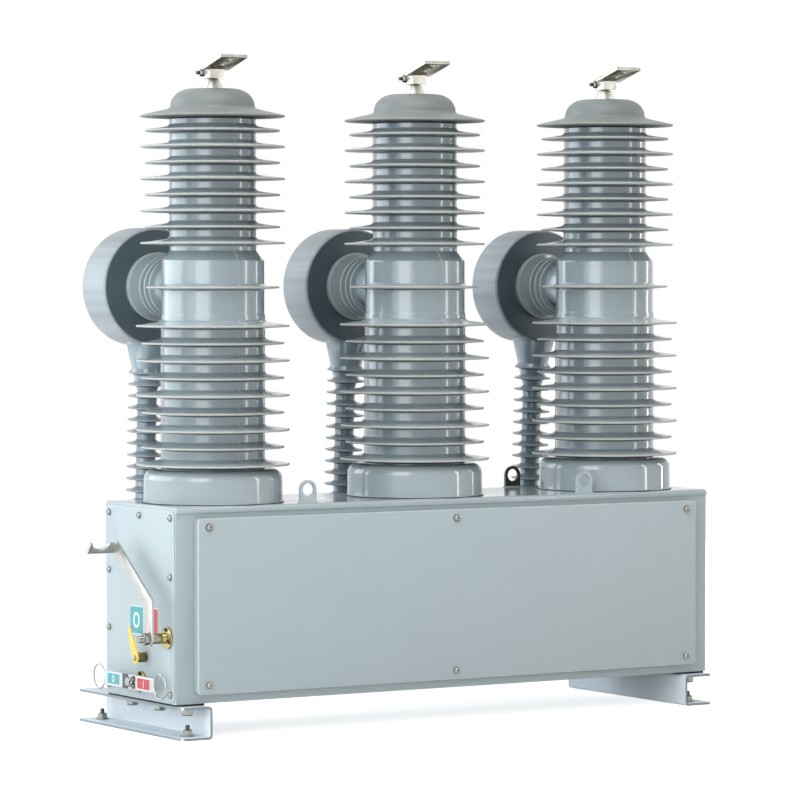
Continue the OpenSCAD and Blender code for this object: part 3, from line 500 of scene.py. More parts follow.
def resin(name, body_code, rim_code, gloss, dust, seam, skin_weight):
    """Cast insulating resin, or silicone where it has no glossy skin: smooth and cool grey, with paler worn
    rims, dust on top, painted shade on the faces that look down and a fine line where the two halves of the
    mould met, in front and at the back."""
    FLASH = 1.3 * MM
    CLOUD = 90 * MM
    STREAK = 14 * MM
    DUST, SEAM, UNDER_SHADE = linear("bcc6ca"), linear("dfe1de"), linear("30383b")
    finish, tree, shader, place = new_finish(name)
    cloud = add(
        tree, "ShaderNodeTexNoise", {"Vector": place, "Scale": 1 / CLOUD, "Detail": 4.0, "Roughness": 0.6}
    )
    tones = {0: cloud.outputs[0], 6: shade(body_code, 0.93), 7: shade(body_code, 1.07)}
    skin = add(tree, "ShaderNodeMix", tones, data_type="RGBA")
    rim = add(tree, "ShaderNodeAttribute", attribute_name="rim").outputs["Fac"]
    pale_edge = add(tree, "ShaderNodeTexNoise", {"Vector": place, "Scale": 1 / STREAK, "Detail": 3.0})
    patches = {"Value": pale_edge.outputs[0], "From Min": 0.2, "From Max": 0.6, "To Min": 0.6}
    patchy = add(tree, "ShaderNodeMapRange", patches)
    worn = add(tree, "ShaderNodeMath", {0: rim, 1: patchy.outputs[0]}, operation="MULTIPLY")
    tones = {0: worn.outputs[0], 6: skin.outputs[2], 7: linear(rim_code)}
    edged = add(tree, "ShaderNodeMix", tones, data_type="RGBA")
    axes = add(tree, "ShaderNodeSeparateXYZ", {"Vector": place})
    spacing = {0: axes.outputs["X"], 1: POLE_PITCH / 2, 2: -POLE_PITCH / 2}
    across = add(tree, "ShaderNodeMath", spacing, operation="WRAP")
    beside = add(tree, "ShaderNodeMath", {0: across.outputs[0]}, operation="ABSOLUTE")
    flash = add(tree, "ShaderNodeMath", {0: beside.outputs[0], 1: FLASH}, operation="LESS_THAN")
    normal = add(tree, "ShaderNodeNewGeometry").outputs["Normal"]
    upward = add(tree, "ShaderNodeSeparateXYZ", {"Vector": normal}).outputs["Z"]
    showing = add(
        tree,
        "ShaderNodeMapRange",
        {"Value": upward, "From Min": 0.25, "From Max": 0.6, "To Min": 0.08 * seam, "To Max": seam},
    )
    faint = add(tree, "ShaderNodeMath", {0: flash.outputs[0], 1: showing.outputs[0]}, operation="MULTIPLY")
    top = {"Value": upward, "From Min": 0.55, "From Max": 0.98, "To Max": dust}
    settled = add(tree, "ShaderNodeMapRange", top)
    tones = {0: settled.outputs[0], 6: edged.outputs[2], 7: DUST}
    dusty = add(tree, "ShaderNodeMix", tones, data_type="RGBA")
    parted = add(tree, "ShaderNodeMix", {0: faint.outputs[0], 6: dusty.outputs[2], 7: SEAM}, data_type="RGBA")
    # Painted shade: faces that look down, except the rims, darken towards a near-black grey.
    under = {"Value": upward, "From Min": -0.3, "From Max": -0.8, "To Max": 0.85}
    below = add(tree, "ShaderNodeMapRange", under)
    shade_mask = add(tree, "ShaderNodeMath", {0: below.outputs[0], 1: rim}, operation="SUBTRACT", use_clamp=True)
    tones = {0: shade_mask.outputs[0], 6: parted.outputs[2], 7: UNDER_SHADE}
    under_shaded = add(tree, "ShaderNodeMix", tones, data_type="RGBA")
    tree.links.new(under_shaded.outputs[2], shader.inputs["Base Color"])
    matt = add(tree, "ShaderNodeMath", {0: settled.outputs[0], 1: rim}, operation="MAXIMUM")
    dull = add(tree, "ShaderNodeMapRange", {"Value": matt.outputs[0], "To Min": gloss, "To Max": 0.6})
    tree.links.new(dull.outputs[0], shader.inputs["Roughness"])
    ripple = add(tree, "ShaderNodeBump", {"Height": cloud.outputs[0], "Strength": 0.05, "Distance": 1.0 * MM})
    tree.links.new(ripple.outputs[0], shader.inputs["Normal"])
    shader.inputs["IOR"].default_value = 1.55
    unclear = add(tree, "ShaderNodeMath", {0: rim, 1: below.outputs[0]}, operation="MAXIMUM")
    coated = {"Value": unclear.outputs[0], "From Max": 0.6, "To Min": skin_weight, "To Max": 0.0}
    clear = add(tree, "ShaderNodeMapRange", coated)
    tree.links.new(clear.outputs[0], shader.inputs["Coat Weight"])
    shader.inputs["Coat Roughness"].default_value = 0.05
    return finish


# Each pole's axis, at the height of the cabinet top.
POLES = {}
for pole in "abc":
    low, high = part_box("pole_base_" + pole)
    POLES[pole] = Vector(((low[0] + high[0]) / 2, (low[1] + high[1]) / 2, low[2]))
POLE_PITCH = POLES["b"].x - POLES["a"].x

# Sizes in mm; heights are from the cabinet top. BAND is a short straight stretch beside a bend, and SUNK is
# how deep the column sits in the drum.
SIDES = 144
BAND, SUNK = 1.0, 1.0
DRUM_R, DRUM_H, DRUM_EDGE, DRUM_BEAD = 174.5, 84.0, 25.0, 3.5
GASKET_IN, GASKET_OUT, GASKET_H = 4.0, 4.6, 1.8
SHED_RISE, SHED_FILLET = 9.0, 4.5
LOW_CORE, LOW_LONG, LOW_SHORT = 131.5, 193.5, 180.0
LOW_FIRST, LOW_STEP, LOW_COUNT = 95.0, 43.5, 9
HOUSING_R, HOUSING_FOOT, HOUSING_STEP = 129.5, 472.0, 2.0
MID_SHED_R, MID_SHED_H, MID_SHED_RISE = 168.0, 540.0, 3.0
SHOULDER_H, SHOULDER_RISE, SHOULDER_EDGE, SHOULDER_BAND = 612.0, 20.0, 7.0, 0.8
UP_CORE, UP_LONG, UP_SHORT = 109.5, 182.0, 170.0
UP_FIRST, UP_STEP, UP_COUNT = 651.0, 40.3, 8
BRIM_H = UP_FIRST + UP_COUNT * UP_STEP
CAP_LAP = 12.5
CAP_FOOT = BRIM_H - CAP_LAP

drum_outline = (
    [(0.0, 0.0, 0.0), (DRUM_R + DRUM_BEAD, 0.0, 0.0)]
    + arc(DRUM_R, 0.0, DRUM_BEAD, 0, 80, 4)
    + [(DRUM_R, DRUM_H - DRUM_EDGE - BAND, 0.0)]
    + arc(DRUM_R - DRUM_EDGE, DRUM_H - DRUM_EDGE, DRUM_EDGE, 0, 90, 10)
    + [(0.0, DRUM_H, 0.0)]
)
gasket_outline = [
    (DRUM_R - GASKET_IN, 0.0, 0.0),
    (DRUM_R + GASKET_OUT, 0.0, 0.0),
    (DRUM_R + GASKET_OUT, GASKET_H, 0.0),
    (DRUM_R - GASKET_IN, GASKET_H, 0.0),
    (DRUM_R - GASKET_IN, 0.0, 0.0),
]
column_outline = [(0.0, DRUM_H - SUNK, 0.0), (LOW_CORE, DRUM_H - SUNK, 0.0)]
for k in range(LOW_COUNT):
    tip = LOW_SHORT if k % 2 else LOW_LONG
    one = shed(LOW_CORE, tip, LOW_FIRST + k * LOW_STEP, SHED_RISE, SHED_FILLET)
    column_outline += [p for p in one if p[1] > DRUM_H]
step_foot, step_top = HOUSING_FOOT - HOUSING_STEP, HOUSING_FOOT + HOUSING_STEP
column_outline += [(LOW_CORE, step_foot - BAND, 0.0), (LOW_CORE, step_foot, 0.0)]
column_outline += [(HOUSING_R, step_top, 0.0), (HOUSING_R, step_top + BAND, 0.0)]
column_outline += shed(HOUSING_R, MID_SHED_R, MID_SHED_H, MID_SHED_RISE, SHED_FILLET)
column_outline += [(HOUSING_R, SHOULDER_H - SHOULDER_EDGE - BAND, 0.0)]
column_outline += arc(HOUSING_R - SHOULDER_EDGE, SHOULDER_H - SHOULDER_EDGE, SHOULDER_EDGE, 0, 45, 4)
shoulder_top = SHOULDER_H + SHOULDER_RISE
column_outline += [(UP_CORE, shoulder_top, 0.0), (UP_CORE, shoulder_top + SHOULDER_BAND, 0.0)]
for k in range(UP_COUNT):
    tip = UP_SHORT if k % 2 else UP_LONG
    column_outline += shed(UP_CORE, tip, UP_FIRST + k * UP_STEP, SHED_RISE, SHED_FILLET)
column_outline += [(UP_CORE, CAP_FOOT, 0.0), (0.0, CAP_FOOT, 0.0)]

# The arm's outline runs from the pole's axis to the back.
ARM_R, ARM_FOOT = 62.0, 110.0
RIB_R, RIB_GROW, RIB_T, RIB_LAND = 76.0, 2.0, 5.0, 1.0
RIB_FIRST, RIB_STEP, RIB_COUNT = 199.0, 21.5, 3
HUB_R, HUB_FOOT, HUB_CONE, HUB_END, HUB_EDGE = 89.0, 282.0, 10.0, 296.0, 3.0
arm_outline = [(0.0, ARM_FOOT, 0.0), (ARM_R, ARM_FOOT, 0.0)]
for k in range(RIB_COUNT):
    y = RIB_FIRST + k * RIB_STEP
    tip = RIB_R + k * RIB_GROW - RIB_T / 2
    arm_outline += [(ARM_R, y - RIB_T, 0.0), (tip - RIB_LAND, y - RIB_T / 2, 0.0)]
    arm_outline += arc(tip, y, RIB_T / 2, -90, 90, 6, 0.6)
    arm_outline += [(tip - RIB_LAND, y + RIB_T / 2, 0.0), (ARM_R, y + RIB_T, 0.0)]
arm_outline += [(ARM_R, HUB_FOOT - HUB_CONE, 0.0), (HUB_R - HUB_EDGE - RIB_LAND, HUB_FOOT, 0.0)]
arm_outline += arc(HUB_R - HUB_EDGE, HUB_FOOT + HUB_EDGE, HUB_EDGE, -90, 0, 4, 0.5)
arm_outline += [(HUB_R, HUB_END, 0.0), (0.0, HUB_END, 0.0)]

drum_enamel = enamel("gloss grey enamel on the cast drums", "9ca8ab", 0.08, 0.8)
pole_resin = resin("glossy grey cast resin", "93a1a5", "b1b0a9", 0.22, 0.35, 0.9, 0.8)
TO_BACK = Matrix.Rotation(math.radians(-90), 4, "X")
for pole, foot in POLES.items():
    stand = Matrix.Translation(foot)
    drum = turned("pole_%s_drum" % pole, drum_outline, SIDES, drum_enamel, stand)
    finished(drum, "breaker", "drum", "pole_base_" + pole)
    gasket = turned("pole_%s_seal" % pole, gasket_outline, SIDES, packing_rubber, stand)
    finished(gasket, "breaker", "drum")
    column = turned("pole_%s_column" % pole, column_outline, SIDES, pole_resin, stand)
    finished(column, "breaker", "insulator", "pole_insulator_" + pole)
    outlet = Matrix.Translation(foot + Vector((0, 0, MID_SHED_H * MM))) @ TO_BACK
    finished(turned("pole_%s_arm" % pole, arm_outline, SIDES, pole_resin, outlet), "breaker", "insulator")


# Pole caps. A soft grey silicone hood with a wide brim is drawn over the head of each pole. It is matt and
# holds a little dust on top.
BRIM_R, BRIM_DROP, BRIM_RISE, BRIM_FILLET = 182.0, 4.0, 16.0, 6.0
DOME_R, DOME_FLAT, DOME_FOOT, DOME_H, DOME_STEPS = 106.0, 55.0, 20.5, 64.5, 12
cap_outline = [(0.0, CAP_FOOT - BRIM_DROP, 0.0)]
cap_outline += shed(DOME_R, BRIM_R, BRIM_H - BRIM_DROP, BRIM_RISE, BRIM_FILLET)
for k in range(1, DOME_STEPS + 1):
    t = math.radians(90 * k / DOME_STEPS)
    r = DOME_FLAT + (DOME_R - DOME_FLAT) * math.cos(t)
    cap_outline.append((r, BRIM_H + DOME_FOOT + (DOME_H - DOME_FOOT) * math.sin(t), 0.0))
cap_outline.append((0.0, BRIM_H + DOME_H, 0.0))
cap_silicone = resin("matt grey silicone rubber", "757b79", "8f8f89", 0.5, 0.15, 0.0, 0.0)
for pole, foot in POLES.items():
    cap = turned("pole_%s_cap" % pole, cap_outline, SIDES, cap_silicone, Matrix.Translation(foot))
    finished(cap, "breaker", "cap", "pole_cap_" + pole)


# Top terminals. A tinned stud with a conical collar comes out of each cap, and a split clamp with a sloping
# flat pad is bolted on it. The metal is bright where it was machined, with painted shade on its downward
# faces.
def plated(name, code, shade_code, gloss):
    """Bright metal plating: soft streaks from polishing, a dull cloud here and there, and painted shade,
    darker and browner, on the faces that look down. The streaks are drawn coarser than real ones, which would
    not show."""
    STREAK = 1.2 * MM
    CLOUD = 25 * MM
    finish, tree, shader, place = new_finish(name)
    stretch = (1 / STREAK, 0.12 / STREAK, 0.4 / STREAK)
    drawn = add(tree, "ShaderNodeMapping", {"Vector": place, "Scale": stretch})
    streak = add(tree, "ShaderNodeTexNoise", {"Vector": drawn.outputs[0], "Scale": 1.0, "Detail": 2.0})
    cloud = add(tree, "ShaderNodeTexNoise", {"Vector": place, "Scale": 1 / CLOUD, "Detail": 3.0})
    mixed = add(tree, "ShaderNodeMath", {0: streak.outputs[0], 1: cloud.outputs[0]}, operation="MULTIPLY")
    spread = add(tree, "ShaderNodeMapRange", {"Value": mixed.outputs[0], "From Min": 0.1, "From Max": 0.4})
    tones = {0: spread.outputs[0], 6: shade(code, 0.72), 7: linear(code)}
    tone = add(tree, "ShaderNodeMix", tones, data_type="RGBA")
    normal = add(tree, "ShaderNodeNewGeometry").outputs["Normal"]
    upward = add(tree, "ShaderNodeSeparateXYZ", {"Vector": normal}).outputs["Z"]
    # Painted shade: faces that look down turn to the darker shade colour.
    under = {"Value": upward, "From Min": -0.5, "From Max": -0.85, "To Max": 0.9}
    below = add(tree, "ShaderNodeMapRange", under)
    tones = {0: below.outputs[0], 6: tone.outputs[2], 7: linear(shade_code)}
    shaded_tone = add(tree, "ShaderNodeMix", tones, data_type="RGBA")
    tree.links.new(shaded_tone.outputs[2], shader.inputs["Base Color"])
    drift = {"From Min": 0.3, "From Max": 0.7, "To Min": gloss - 0.06, "To Max": gloss + 0.1}
    dull = add(tree, "ShaderNodeMapRange", {"Value": cloud.outputs[0], **drift})
    tree.links.new(dull.outputs[0], shader.inputs["Roughness"])
    scored = add(tree, "ShaderNodeBump", {"Height": streak.outputs[0], "Strength": 0.1, "Distance": 0.1 * MM})
    tree.links.new(scored.outputs[0], shader.inputs["Normal"])
    shader.inputs["Metallic"].default_value = 1.0
    return finish


COLLAR_R, COLLAR_TOP, COLLAR_FOOT, COLLAR_H = 25.0, 17.0, 3.0, 23.5
STUD_R, STUD_END, STUD_SIDES, THREAD, THREAD_DEEP = 12.0, 61.5, 32, 2.0, 1.0
stud_outline = [(0.0, 0.0, 0.0), (COLLAR_R, 0.0, 0.0)]
stud_outline += [(COLLAR_R, COLLAR_FOOT, 0.0), (COLLAR_TOP, COLLAR_H, 0.0)]
turns = int((STUD_END - COLLAR_H - THREAD) / THREAD)
for k in range(turns):
    h = COLLAR_H + k * THREAD
    stud_outline += [(STUD_R - THREAD_DEEP, h, 0.0), (STUD_R, h + THREAD / 2, 0.0)]
stud_outline += [(STUD_R - THREAD_DEEP, COLLAR_H + turns * THREAD, 0.0)]
stud_outline += [(STUD_R - 2 * THREAD_DEEP, STUD_END, 0.0), (0.0, STUD_END, 0.0)]
CLAMP_EDGE = 1.2
tinned = plated("tinned copper", "c4c2b8", "8d8772", 0.34)
for pole, foot in POLES.items():
    dome_top = Matrix.Translation(foot + Vector((0, 0, (BRIM_H + DOME_H) * MM)))
    stud = turned("pole_%s_stud" % pole, stud_outline, STUD_SIDES, tinned, dome_top)
    finished(stud, "breaker", "stud", "terminal_stud_" + pole)
    node = "terminal_clamp_" + pole
    finished(softened("pole_%s_clamp" % pole, node, CLAMP_EDGE, tinned), "breaker", "terminal", node)


# Current transformers. Behind each pole a ring transformer stands on its own shedded resin post. Its drum is
# sprayed with aluminium lacquer, and the resin faces are left dark slate. A tinned pad leaves it at the back.
def ring_lacquer(name, shell_code, face_code):
    """Aluminium lacquer on the round shell, satin dark resin on the two flat faces. The flakes are drawn
    coarser than real ones, which would not show."""
    CLOUD = 60 * MM
    FLAKE = 1.0 * MM
    BAND = 22 * MM
    finish, tree, shader, place = new_finish(name)
    cloud = add(tree, "ShaderNodeTexNoise", {"Vector": place, "Scale": 1 / CLOUD, "Detail": 4.0})
    flake = add(tree, "ShaderNodeTexNoise", {"Vector": place, "Scale": 1 / FLAKE, "Detail": 0.0})
    rolled = add(tree, "ShaderNodeMapping", {"Vector": place, "Scale": (1 / BAND, 0.02 / BAND, 1 / BAND)})
    band = add(tree, "ShaderNodeTexNoise", {"Vector": rolled.outputs[0], "Scale": 1.0, "Detail": 3.0})
    streak = add(tree, "ShaderNodeMapRange", {"Value": band.outputs[0], "From Min": 0.35, "From Max": 0.65})
    tones = {0: streak.outputs[0], 6: shade(shell_code, 0.8), 7: linear(shell_code)}
    shell = add(tree, "ShaderNodeMix", tones, data_type="RGBA")
    tones = {0: cloud.outputs[0], 6: shade(face_code, 0.8), 7: linear(face_code)}
    face = add(tree, "ShaderNodeMix", tones, data_type="RGBA")
    normal = add(tree, "ShaderNodeNewGeometry").outputs["Normal"]
    facing = add(tree, "ShaderNodeSeparateXYZ", {"Vector": normal})
    along = add(tree, "ShaderNodeMath", {0: facing.outputs["Y"]}, operation="ABSOLUTE")
    flat = add(tree, "ShaderNodeMapRange", {"Value": along.outputs[0], "From Min": 0.8, "From Max": 0.97})
    tones = {0: flat.outputs[0], 6: shell.outputs[2], 7: face.outputs[2]}
    tone = add(tree, "ShaderNodeMix", tones, data_type="RGBA")
    tree.links.new(tone.outputs[2], shader.inputs["Base Color"])
    metal = add(tree, "ShaderNodeMapRange", {"Value": flat.outputs[0], "To Min": 0.12, "To Max": 0.0})
    tree.links.new(metal.outputs[0], shader.inputs["Metallic"])
    dull = add(tree, "ShaderNodeMapRange", {"Value": flat.outputs[0], "To Min": 0.55, "To Max": 0.36})
    tree.links.new(dull.outputs[0], shader.inputs["Roughness"])
    grain = add(tree, "ShaderNodeBump", {"Height": flake.outputs[0], "Strength": 0.05, "Distance": 0.1 * MM})
    tree.links.new(grain.outputs[0], shader.inputs["Normal"])
    return finish


RING_R, RING_W, RING_EDGE = 152.5, 124.0, 9.0
ring_outline = (
    [(0.0, 0.0, 0.0)]
    + arc(RING_R - RING_EDGE, RING_EDGE, RING_EDGE, -90, 0, 6)
    + arc(RING_R - RING_EDGE, RING_W - RING_EDGE, RING_EDGE, 0, 90, 6)
    + [(0.0, RING_W, 0.0)]
)
POST_R, POST_COLLAR, POST_COLLAR_H, POST_SUNK = 25.0, 4.0, 4.0, 3.0
POST_SHED_R, POST_TIP, POST_FIRST, POST_STEP, POST_COUNT = 50.0, 4.0, 12.4, 30.6, 12
POST_HEAD_R, POST_CONE, POST_NECK, POST_TOP, POST_SADDLE = 56.0, 122.0, 30.0, 417.5, 16.0
POST_LEAN = Matrix.Rotation(math.radians(3.0), 4, "X")
POST_SIDES = 64
BASE_EDGE = 1.5


def post_core(h):
    """Radius of the post's core at a height: straight, then a cone up to the ring."""
    up = max(0.0, (h - POST_TOP + POST_CONE) / POST_CONE)
    return POST_R + (POST_HEAD_R - POST_R) * min(1.0, up)


def post_shed(h):
    """Outline of one shed of the post: a root that leaves the core below, a round tip and a slope back."""
    FOOT, KNEE, SLOPE, HEAD = 6.0, 3.5, 6.0, 11.0
    FOOT_OUT, KNEE_OUT, SLOPE_OUT = 1.0, 4.0, 6.0
    LAND, LAND_LOW, LAND_HIGH = 1.0, 0.1, 0.2
    half = POST_TIP / 2
    tip = POST_SHED_R - half
    return (
        [(post_core(h - FOOT) + FOOT_OUT, h - FOOT, 0.0), (post_core(h) + KNEE_OUT, h - KNEE, 0.0)]
        + [(tip - LAND, h - half - LAND_LOW, 0.0)]
        + arc(tip, h, half, -90, 90, 4, 1.0)
        + [(tip - LAND, h + half + LAND_HIGH, 0.0)]
        + [(post_core(h) + SLOPE_OUT, h + SLOPE, 0.0), (post_core(h + HEAD), h + HEAD, 0.0)]
    )


collar_r = POST_R + POST_COLLAR
post_outline = [(0.0, -POST_SUNK, 0.0), (collar_r, -POST_SUNK, 0.0), (collar_r, POST_COLLAR_H, 0.0)]
for k in range(POST_COUNT):
    post_outline += post_shed(POST_FIRST + k * POST_STEP)
neck_h = POST_TOP - POST_NECK
post_outline += [(post_core(neck_h), neck_h, 0.0), (POST_HEAD_R, POST_TOP, 0.0)]
post_outline += [(POST_HEAD_R, POST_TOP + POST_SADDLE, 0.0), (0.0, POST_TOP + POST_SADDLE, 0.0)]


def saddled(piece, axis):
    """Hollows the head of a post to the round of its ring. The form is a hair smaller, so no gap shows."""
    BITE = 0.6
    radius = (RING_R - BITE) * MM
    shape = bmesh.new()
    bmesh.ops.create_cone(
        shape,
        cap_ends=True,
        segments=SIDES,
        radius1=radius,
        radius2=radius,
        depth=4 * RING_W * MM,
        matrix=Matrix.Translation(axis) @ TO_BACK,
    )
    mesh = bpy.data.meshes.new("ring form")
    shape.to_mesh(mesh)
    shape.free()
    form = placed("ring form", mesh)
    bite = piece.modifiers.new("saddle", "BOOLEAN")
    bite.object = form
    bite.operation = "DIFFERENCE"
    applied(piece)
    bpy.data.objects.remove(form)
    return piece


ring_finish = ring_lacquer("aluminium lacquer over dark cast resin", "9da4a7", "4d5a61")
post_resin = resin("slate grey cast resin of the posts", "7c8c94", "93979a", 0.26, 0.3, 0.3, 0.6)
base_enamel = enamel("dark grey enamel on the base plates", "5f676b", 0.4)
for pole, foot in POLES.items():
    axis = Vector((foot.x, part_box("ct_ring_" + pole)[0][1], foot.z + MID_SHED_H * MM))
    behind = Matrix.Translation(axis) @ TO_BACK
    ring = turned("transformer_%s_ring" % pole, ring_outline, SIDES, ring_finish, behind)
    finished(ring, "breaker", "ct_body", "ct_ring_" + pole)
    node = "ct_base_" + pole
    low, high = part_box(node)
    stand = Matrix.Translation((foot.x, (low[1] + high[1]) / 2, high[2])) @ POST_LEAN
    post = turned("transformer_%s_post" % pole, post_outline, POST_SIDES, post_resin, stand)
    finished(saddled(post, axis), "breaker", "insulator", "ct_support_" + pole)
    finished(softened("transformer_%s_base" % pole, node, BASE_EDGE, base_enamel), "breaker", "ct_base", node)
    node = "rear_terminal_" + pole
    finished(softened("transformer_%s_pad" % pole, node, CLAMP_EDGE, tinned), "breaker", "terminal", node)


# Hexagon bolts and nuts. Galvanised steel with flat washers: through the feet, under the cabinet, on the
# transformer bases, the shelf, the rear terminals and the clamps. One tree makes every size of them.
head_sizes = ("Washer Radius", "Washer Height", "Corner Radius", "Head Height", "End Radius", "End Height")
hexagon, given = new_tree(
    "hexagon fastener", {**dict.fromkeys(head_sizes, "Float"), "Finish": "Material", "End Finish": "Material"}
)
shares = (("Head Height", 0.8), ("Head Height", 0.2), ("Corner Radius", 0.84), ("End Radius", 0.85))
body_h, bevel_h, bevel_r, end_r = (
    add(hexagon, "ShaderNodeMath", {0: given[size], 1: share}, operation="MULTIPLY").outputs[0]
    for size, share in shares
)
bevel_z = add(hexagon, "ShaderNodeMath", {0: given["Washer Height"], 1: body_h}, operation="ADD").outputs[0]
end_z = add(hexagon, "ShaderNodeMath", {0: bevel_z, 1: bevel_h}, operation="ADD").outputs[0]
stack = add(hexagon, "GeometryNodeJoinGeometry")
for sides, bottom, top, depth, z, tip in (
    (28, given["Washer Radius"], given["Washer Radius"], given["Washer Height"], 0.0, False),
    (6, given["Corner Radius"], given["Corner Radius"], body_h, given["Washer Height"], False),
    (6, given["Corner Radius"], bevel_r, bevel_h, bevel_z, False),
    (16, given["End Radius"], end_r, given["End Height"], end_z, True),
):
    sizes = {"Vertices": sides, "Radius Bottom": bottom, "Radius Top": top, "Depth": depth}
    disc = add(hexagon, "GeometryNodeMeshCone", sizes).outputs["Mesh"]
    lifted = add(hexagon, "ShaderNodeCombineXYZ", {"Z": z})
    moved = add(hexagon, "GeometryNodeTransform", {"Geometry": disc, "Translation": lifted.outputs[0]})
    marked = add(
        hexagon,
        "GeometryNodeStoreNamedAttribute",
        {"Geometry": moved.outputs[0], "Name": "tip", "Value": tip},
        data_type="BOOLEAN",
        domain="FACE",
    )
    hexagon.links.new(marked.outputs[0], stack.inputs[0])


def spread_on_points(tree, head, finish, tip_finish=None):
    """Puts a head on every point of the tree's own geometry, turned to its facing, and ends the tree."""
    facing = add(tree, "GeometryNodeInputNamedAttribute", {"Name": "facing"}, data_type="FLOAT_VECTOR")
    turn = add(tree, "FunctionNodeAlignRotationToVector", {"Vector": facing.outputs["Attribute"]}, axis="Z")
    points = tree.nodes["Group Input"].outputs["Geometry"]
    heads = {"Points": points, "Instance": head, "Rotation": turn.outputs[0]}
    spread = add(tree, "GeometryNodeInstanceOnPoints", heads)
    dressed(tree, spread.outputs[0], finish, tip_finish)


def fasteners(name, tree, spots, inputs):
    """Heads of one size at spots, each a place and a facing; sizes in the inputs are in mm."""
    seed = bpy.data.meshes.new(name)
    seed.from_pydata([place for place, facing in spots], [], [])
    flat = [value for place, facing in spots for value in facing]
    seed.attributes.new("facing", "FLOAT_VECTOR", "POINT").data.foreach_set("vector", flat)
    metres = {key: value * MM if isinstance(value, float) else value for key, value in inputs.items()}
    return grown(name, seed, tree, metres)


spread_on_points(hexagon, stack.outputs[0], given["Finish"], given["End Finish"])
UP, DOWN, BACK, FRONT, LEFT, RIGHT = (0, 0, 1), (0, 0, -1), (0, 1, 0), (0, -1, 0), (-1, 0, 0), (1, 0, 0)
galvanised = plated("galvanised bolt steel", "96978f", "38352c", 0.2)
bright = {"Finish": galvanised, "End Finish": galvanised}
M12 = {"Washer Radius": 17.0, "Washer Height": 3.5, "Corner Radius": 13.5, "Head Height": 13.0, **bright}
M16 = {"Washer Radius": 18.0, "Washer Height": 3.5, "Corner Radius": 16.5, "Head Height": 15.0, **bright}
M10 = {"Washer Radius": 11.0, "Washer Height": 2.0, "Corner Radius": 9.2, "Head Height": 7.0, **bright}

FOOT_T, FOOT_H, FOOT_BOLT_Y, FRAME_BOLTS_Y = 6.0, 82.0, 225.0, (-225.0, -82.0, 61.0)
foot_nuts = []
frame_bolts = []
for side in ("left", "right"):
    low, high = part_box("foot_channel_" + side)
    x = (low[0] + high[0]) / 2
    foot_nuts += [((x, y * MM, FOOT_T * MM), UP) for y in (-FOOT_BOLT_Y, FOOT_BOLT_Y)]
    frame_bolts += [((x, y * MM, (FOOT_H - FOOT_T) * MM), DOWN) for y in FRAME_BOLTS_Y]
dark_end = {"End Radius": 6.0, "End Height": 11.0, "End Finish": blackened}
finished(fasteners("foot_nuts", hexagon, foot_nuts, {**M12, **dark_end}), "breaker", "foot")
bolts = fasteners("frame_bolts", hexagon, frame_bolts, {**M16, "End Radius": 6.0, "End Height": 0.6})
finished(bolts, "breaker", "foot")

BASE_BOLT, PAD_T, PAD_BOLT_R = 45.0, 12.0, 58.0
SHELF_T, SHELF_BOLT_DROP, SHELF_BOLT_X = 5.0, 122.0, (110.0, 300.0, 490.0, 600.0)
CORNERS = ((-1, -1), (-1, 1), (1, -1), (1, 1))
base_bolts = []
for pole, foot in POLES.items():
    low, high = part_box("ct_base_" + pole)
    middle = Vector(((low[0] + high[0]) / 2, (low[1] + high[1]) / 2, high[2]))
    base_bolts += [(middle + Vector((x, y, 0)) * BASE_BOLT * MM, UP) for x, y in CORNERS]
    rear = Vector((foot.x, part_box("ct_ring_" + pole)[1][1] + PAD_T * MM, foot.z + MID_SHED_H * MM))
    diagonal = PAD_BOLT_R * math.sqrt(0.5) * MM
    base_bolts += [(rear + Vector((x, 0, z)) * diagonal, BACK) for x, z in CORNERS]
low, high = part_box("ct_shelf")
shelf_y = low[1] + SHELF_T * MM
shelf_z = high[2] - SHELF_BOLT_DROP * MM
base_bolts += [((s * x * MM, shelf_y, shelf_z), BACK) for x in SHELF_BOLT_X for s in (-1, 1)]
bolts = fasteners("transformer_bolts", hexagon, base_bolts, {**M10, "End Radius": 5.0, "End Height": 4.0})
finished(bolts, "breaker", "ct_base")

CLAMP_HALF, CLAMP_BOLT_BACK, CLAMP_BOLT_UP = 20.0, 15.0, 14.0
clamp_nuts = []
clamp_heads = []
for pole, foot in POLES.items():
    bolt_y = foot.y + CLAMP_BOLT_BACK * MM
    bolt_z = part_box("terminal_clamp_" + pole)[0][2] + CLAMP_BOLT_UP * MM
    clamp_nuts.append(((foot.x - CLAMP_HALF * MM, bolt_y, bolt_z), LEFT))
    clamp_heads.append(((foot.x + CLAMP_HALF * MM, bolt_y, bolt_z), RIGHT))
dark_end = {"End Radius": 5.0, "End Height": 9.0, "End Finish": blackened}
finished(fasteners("clamp_nuts", hexagon, clamp_nuts, {**M10, **dark_end}), "breaker", "terminal")
bolts = fasteners("clamp_bolts", hexagon, clamp_heads, {**M10, "End Radius": 4.0, "End Height": 0.5})
finished(bolts, "breaker", "terminal")


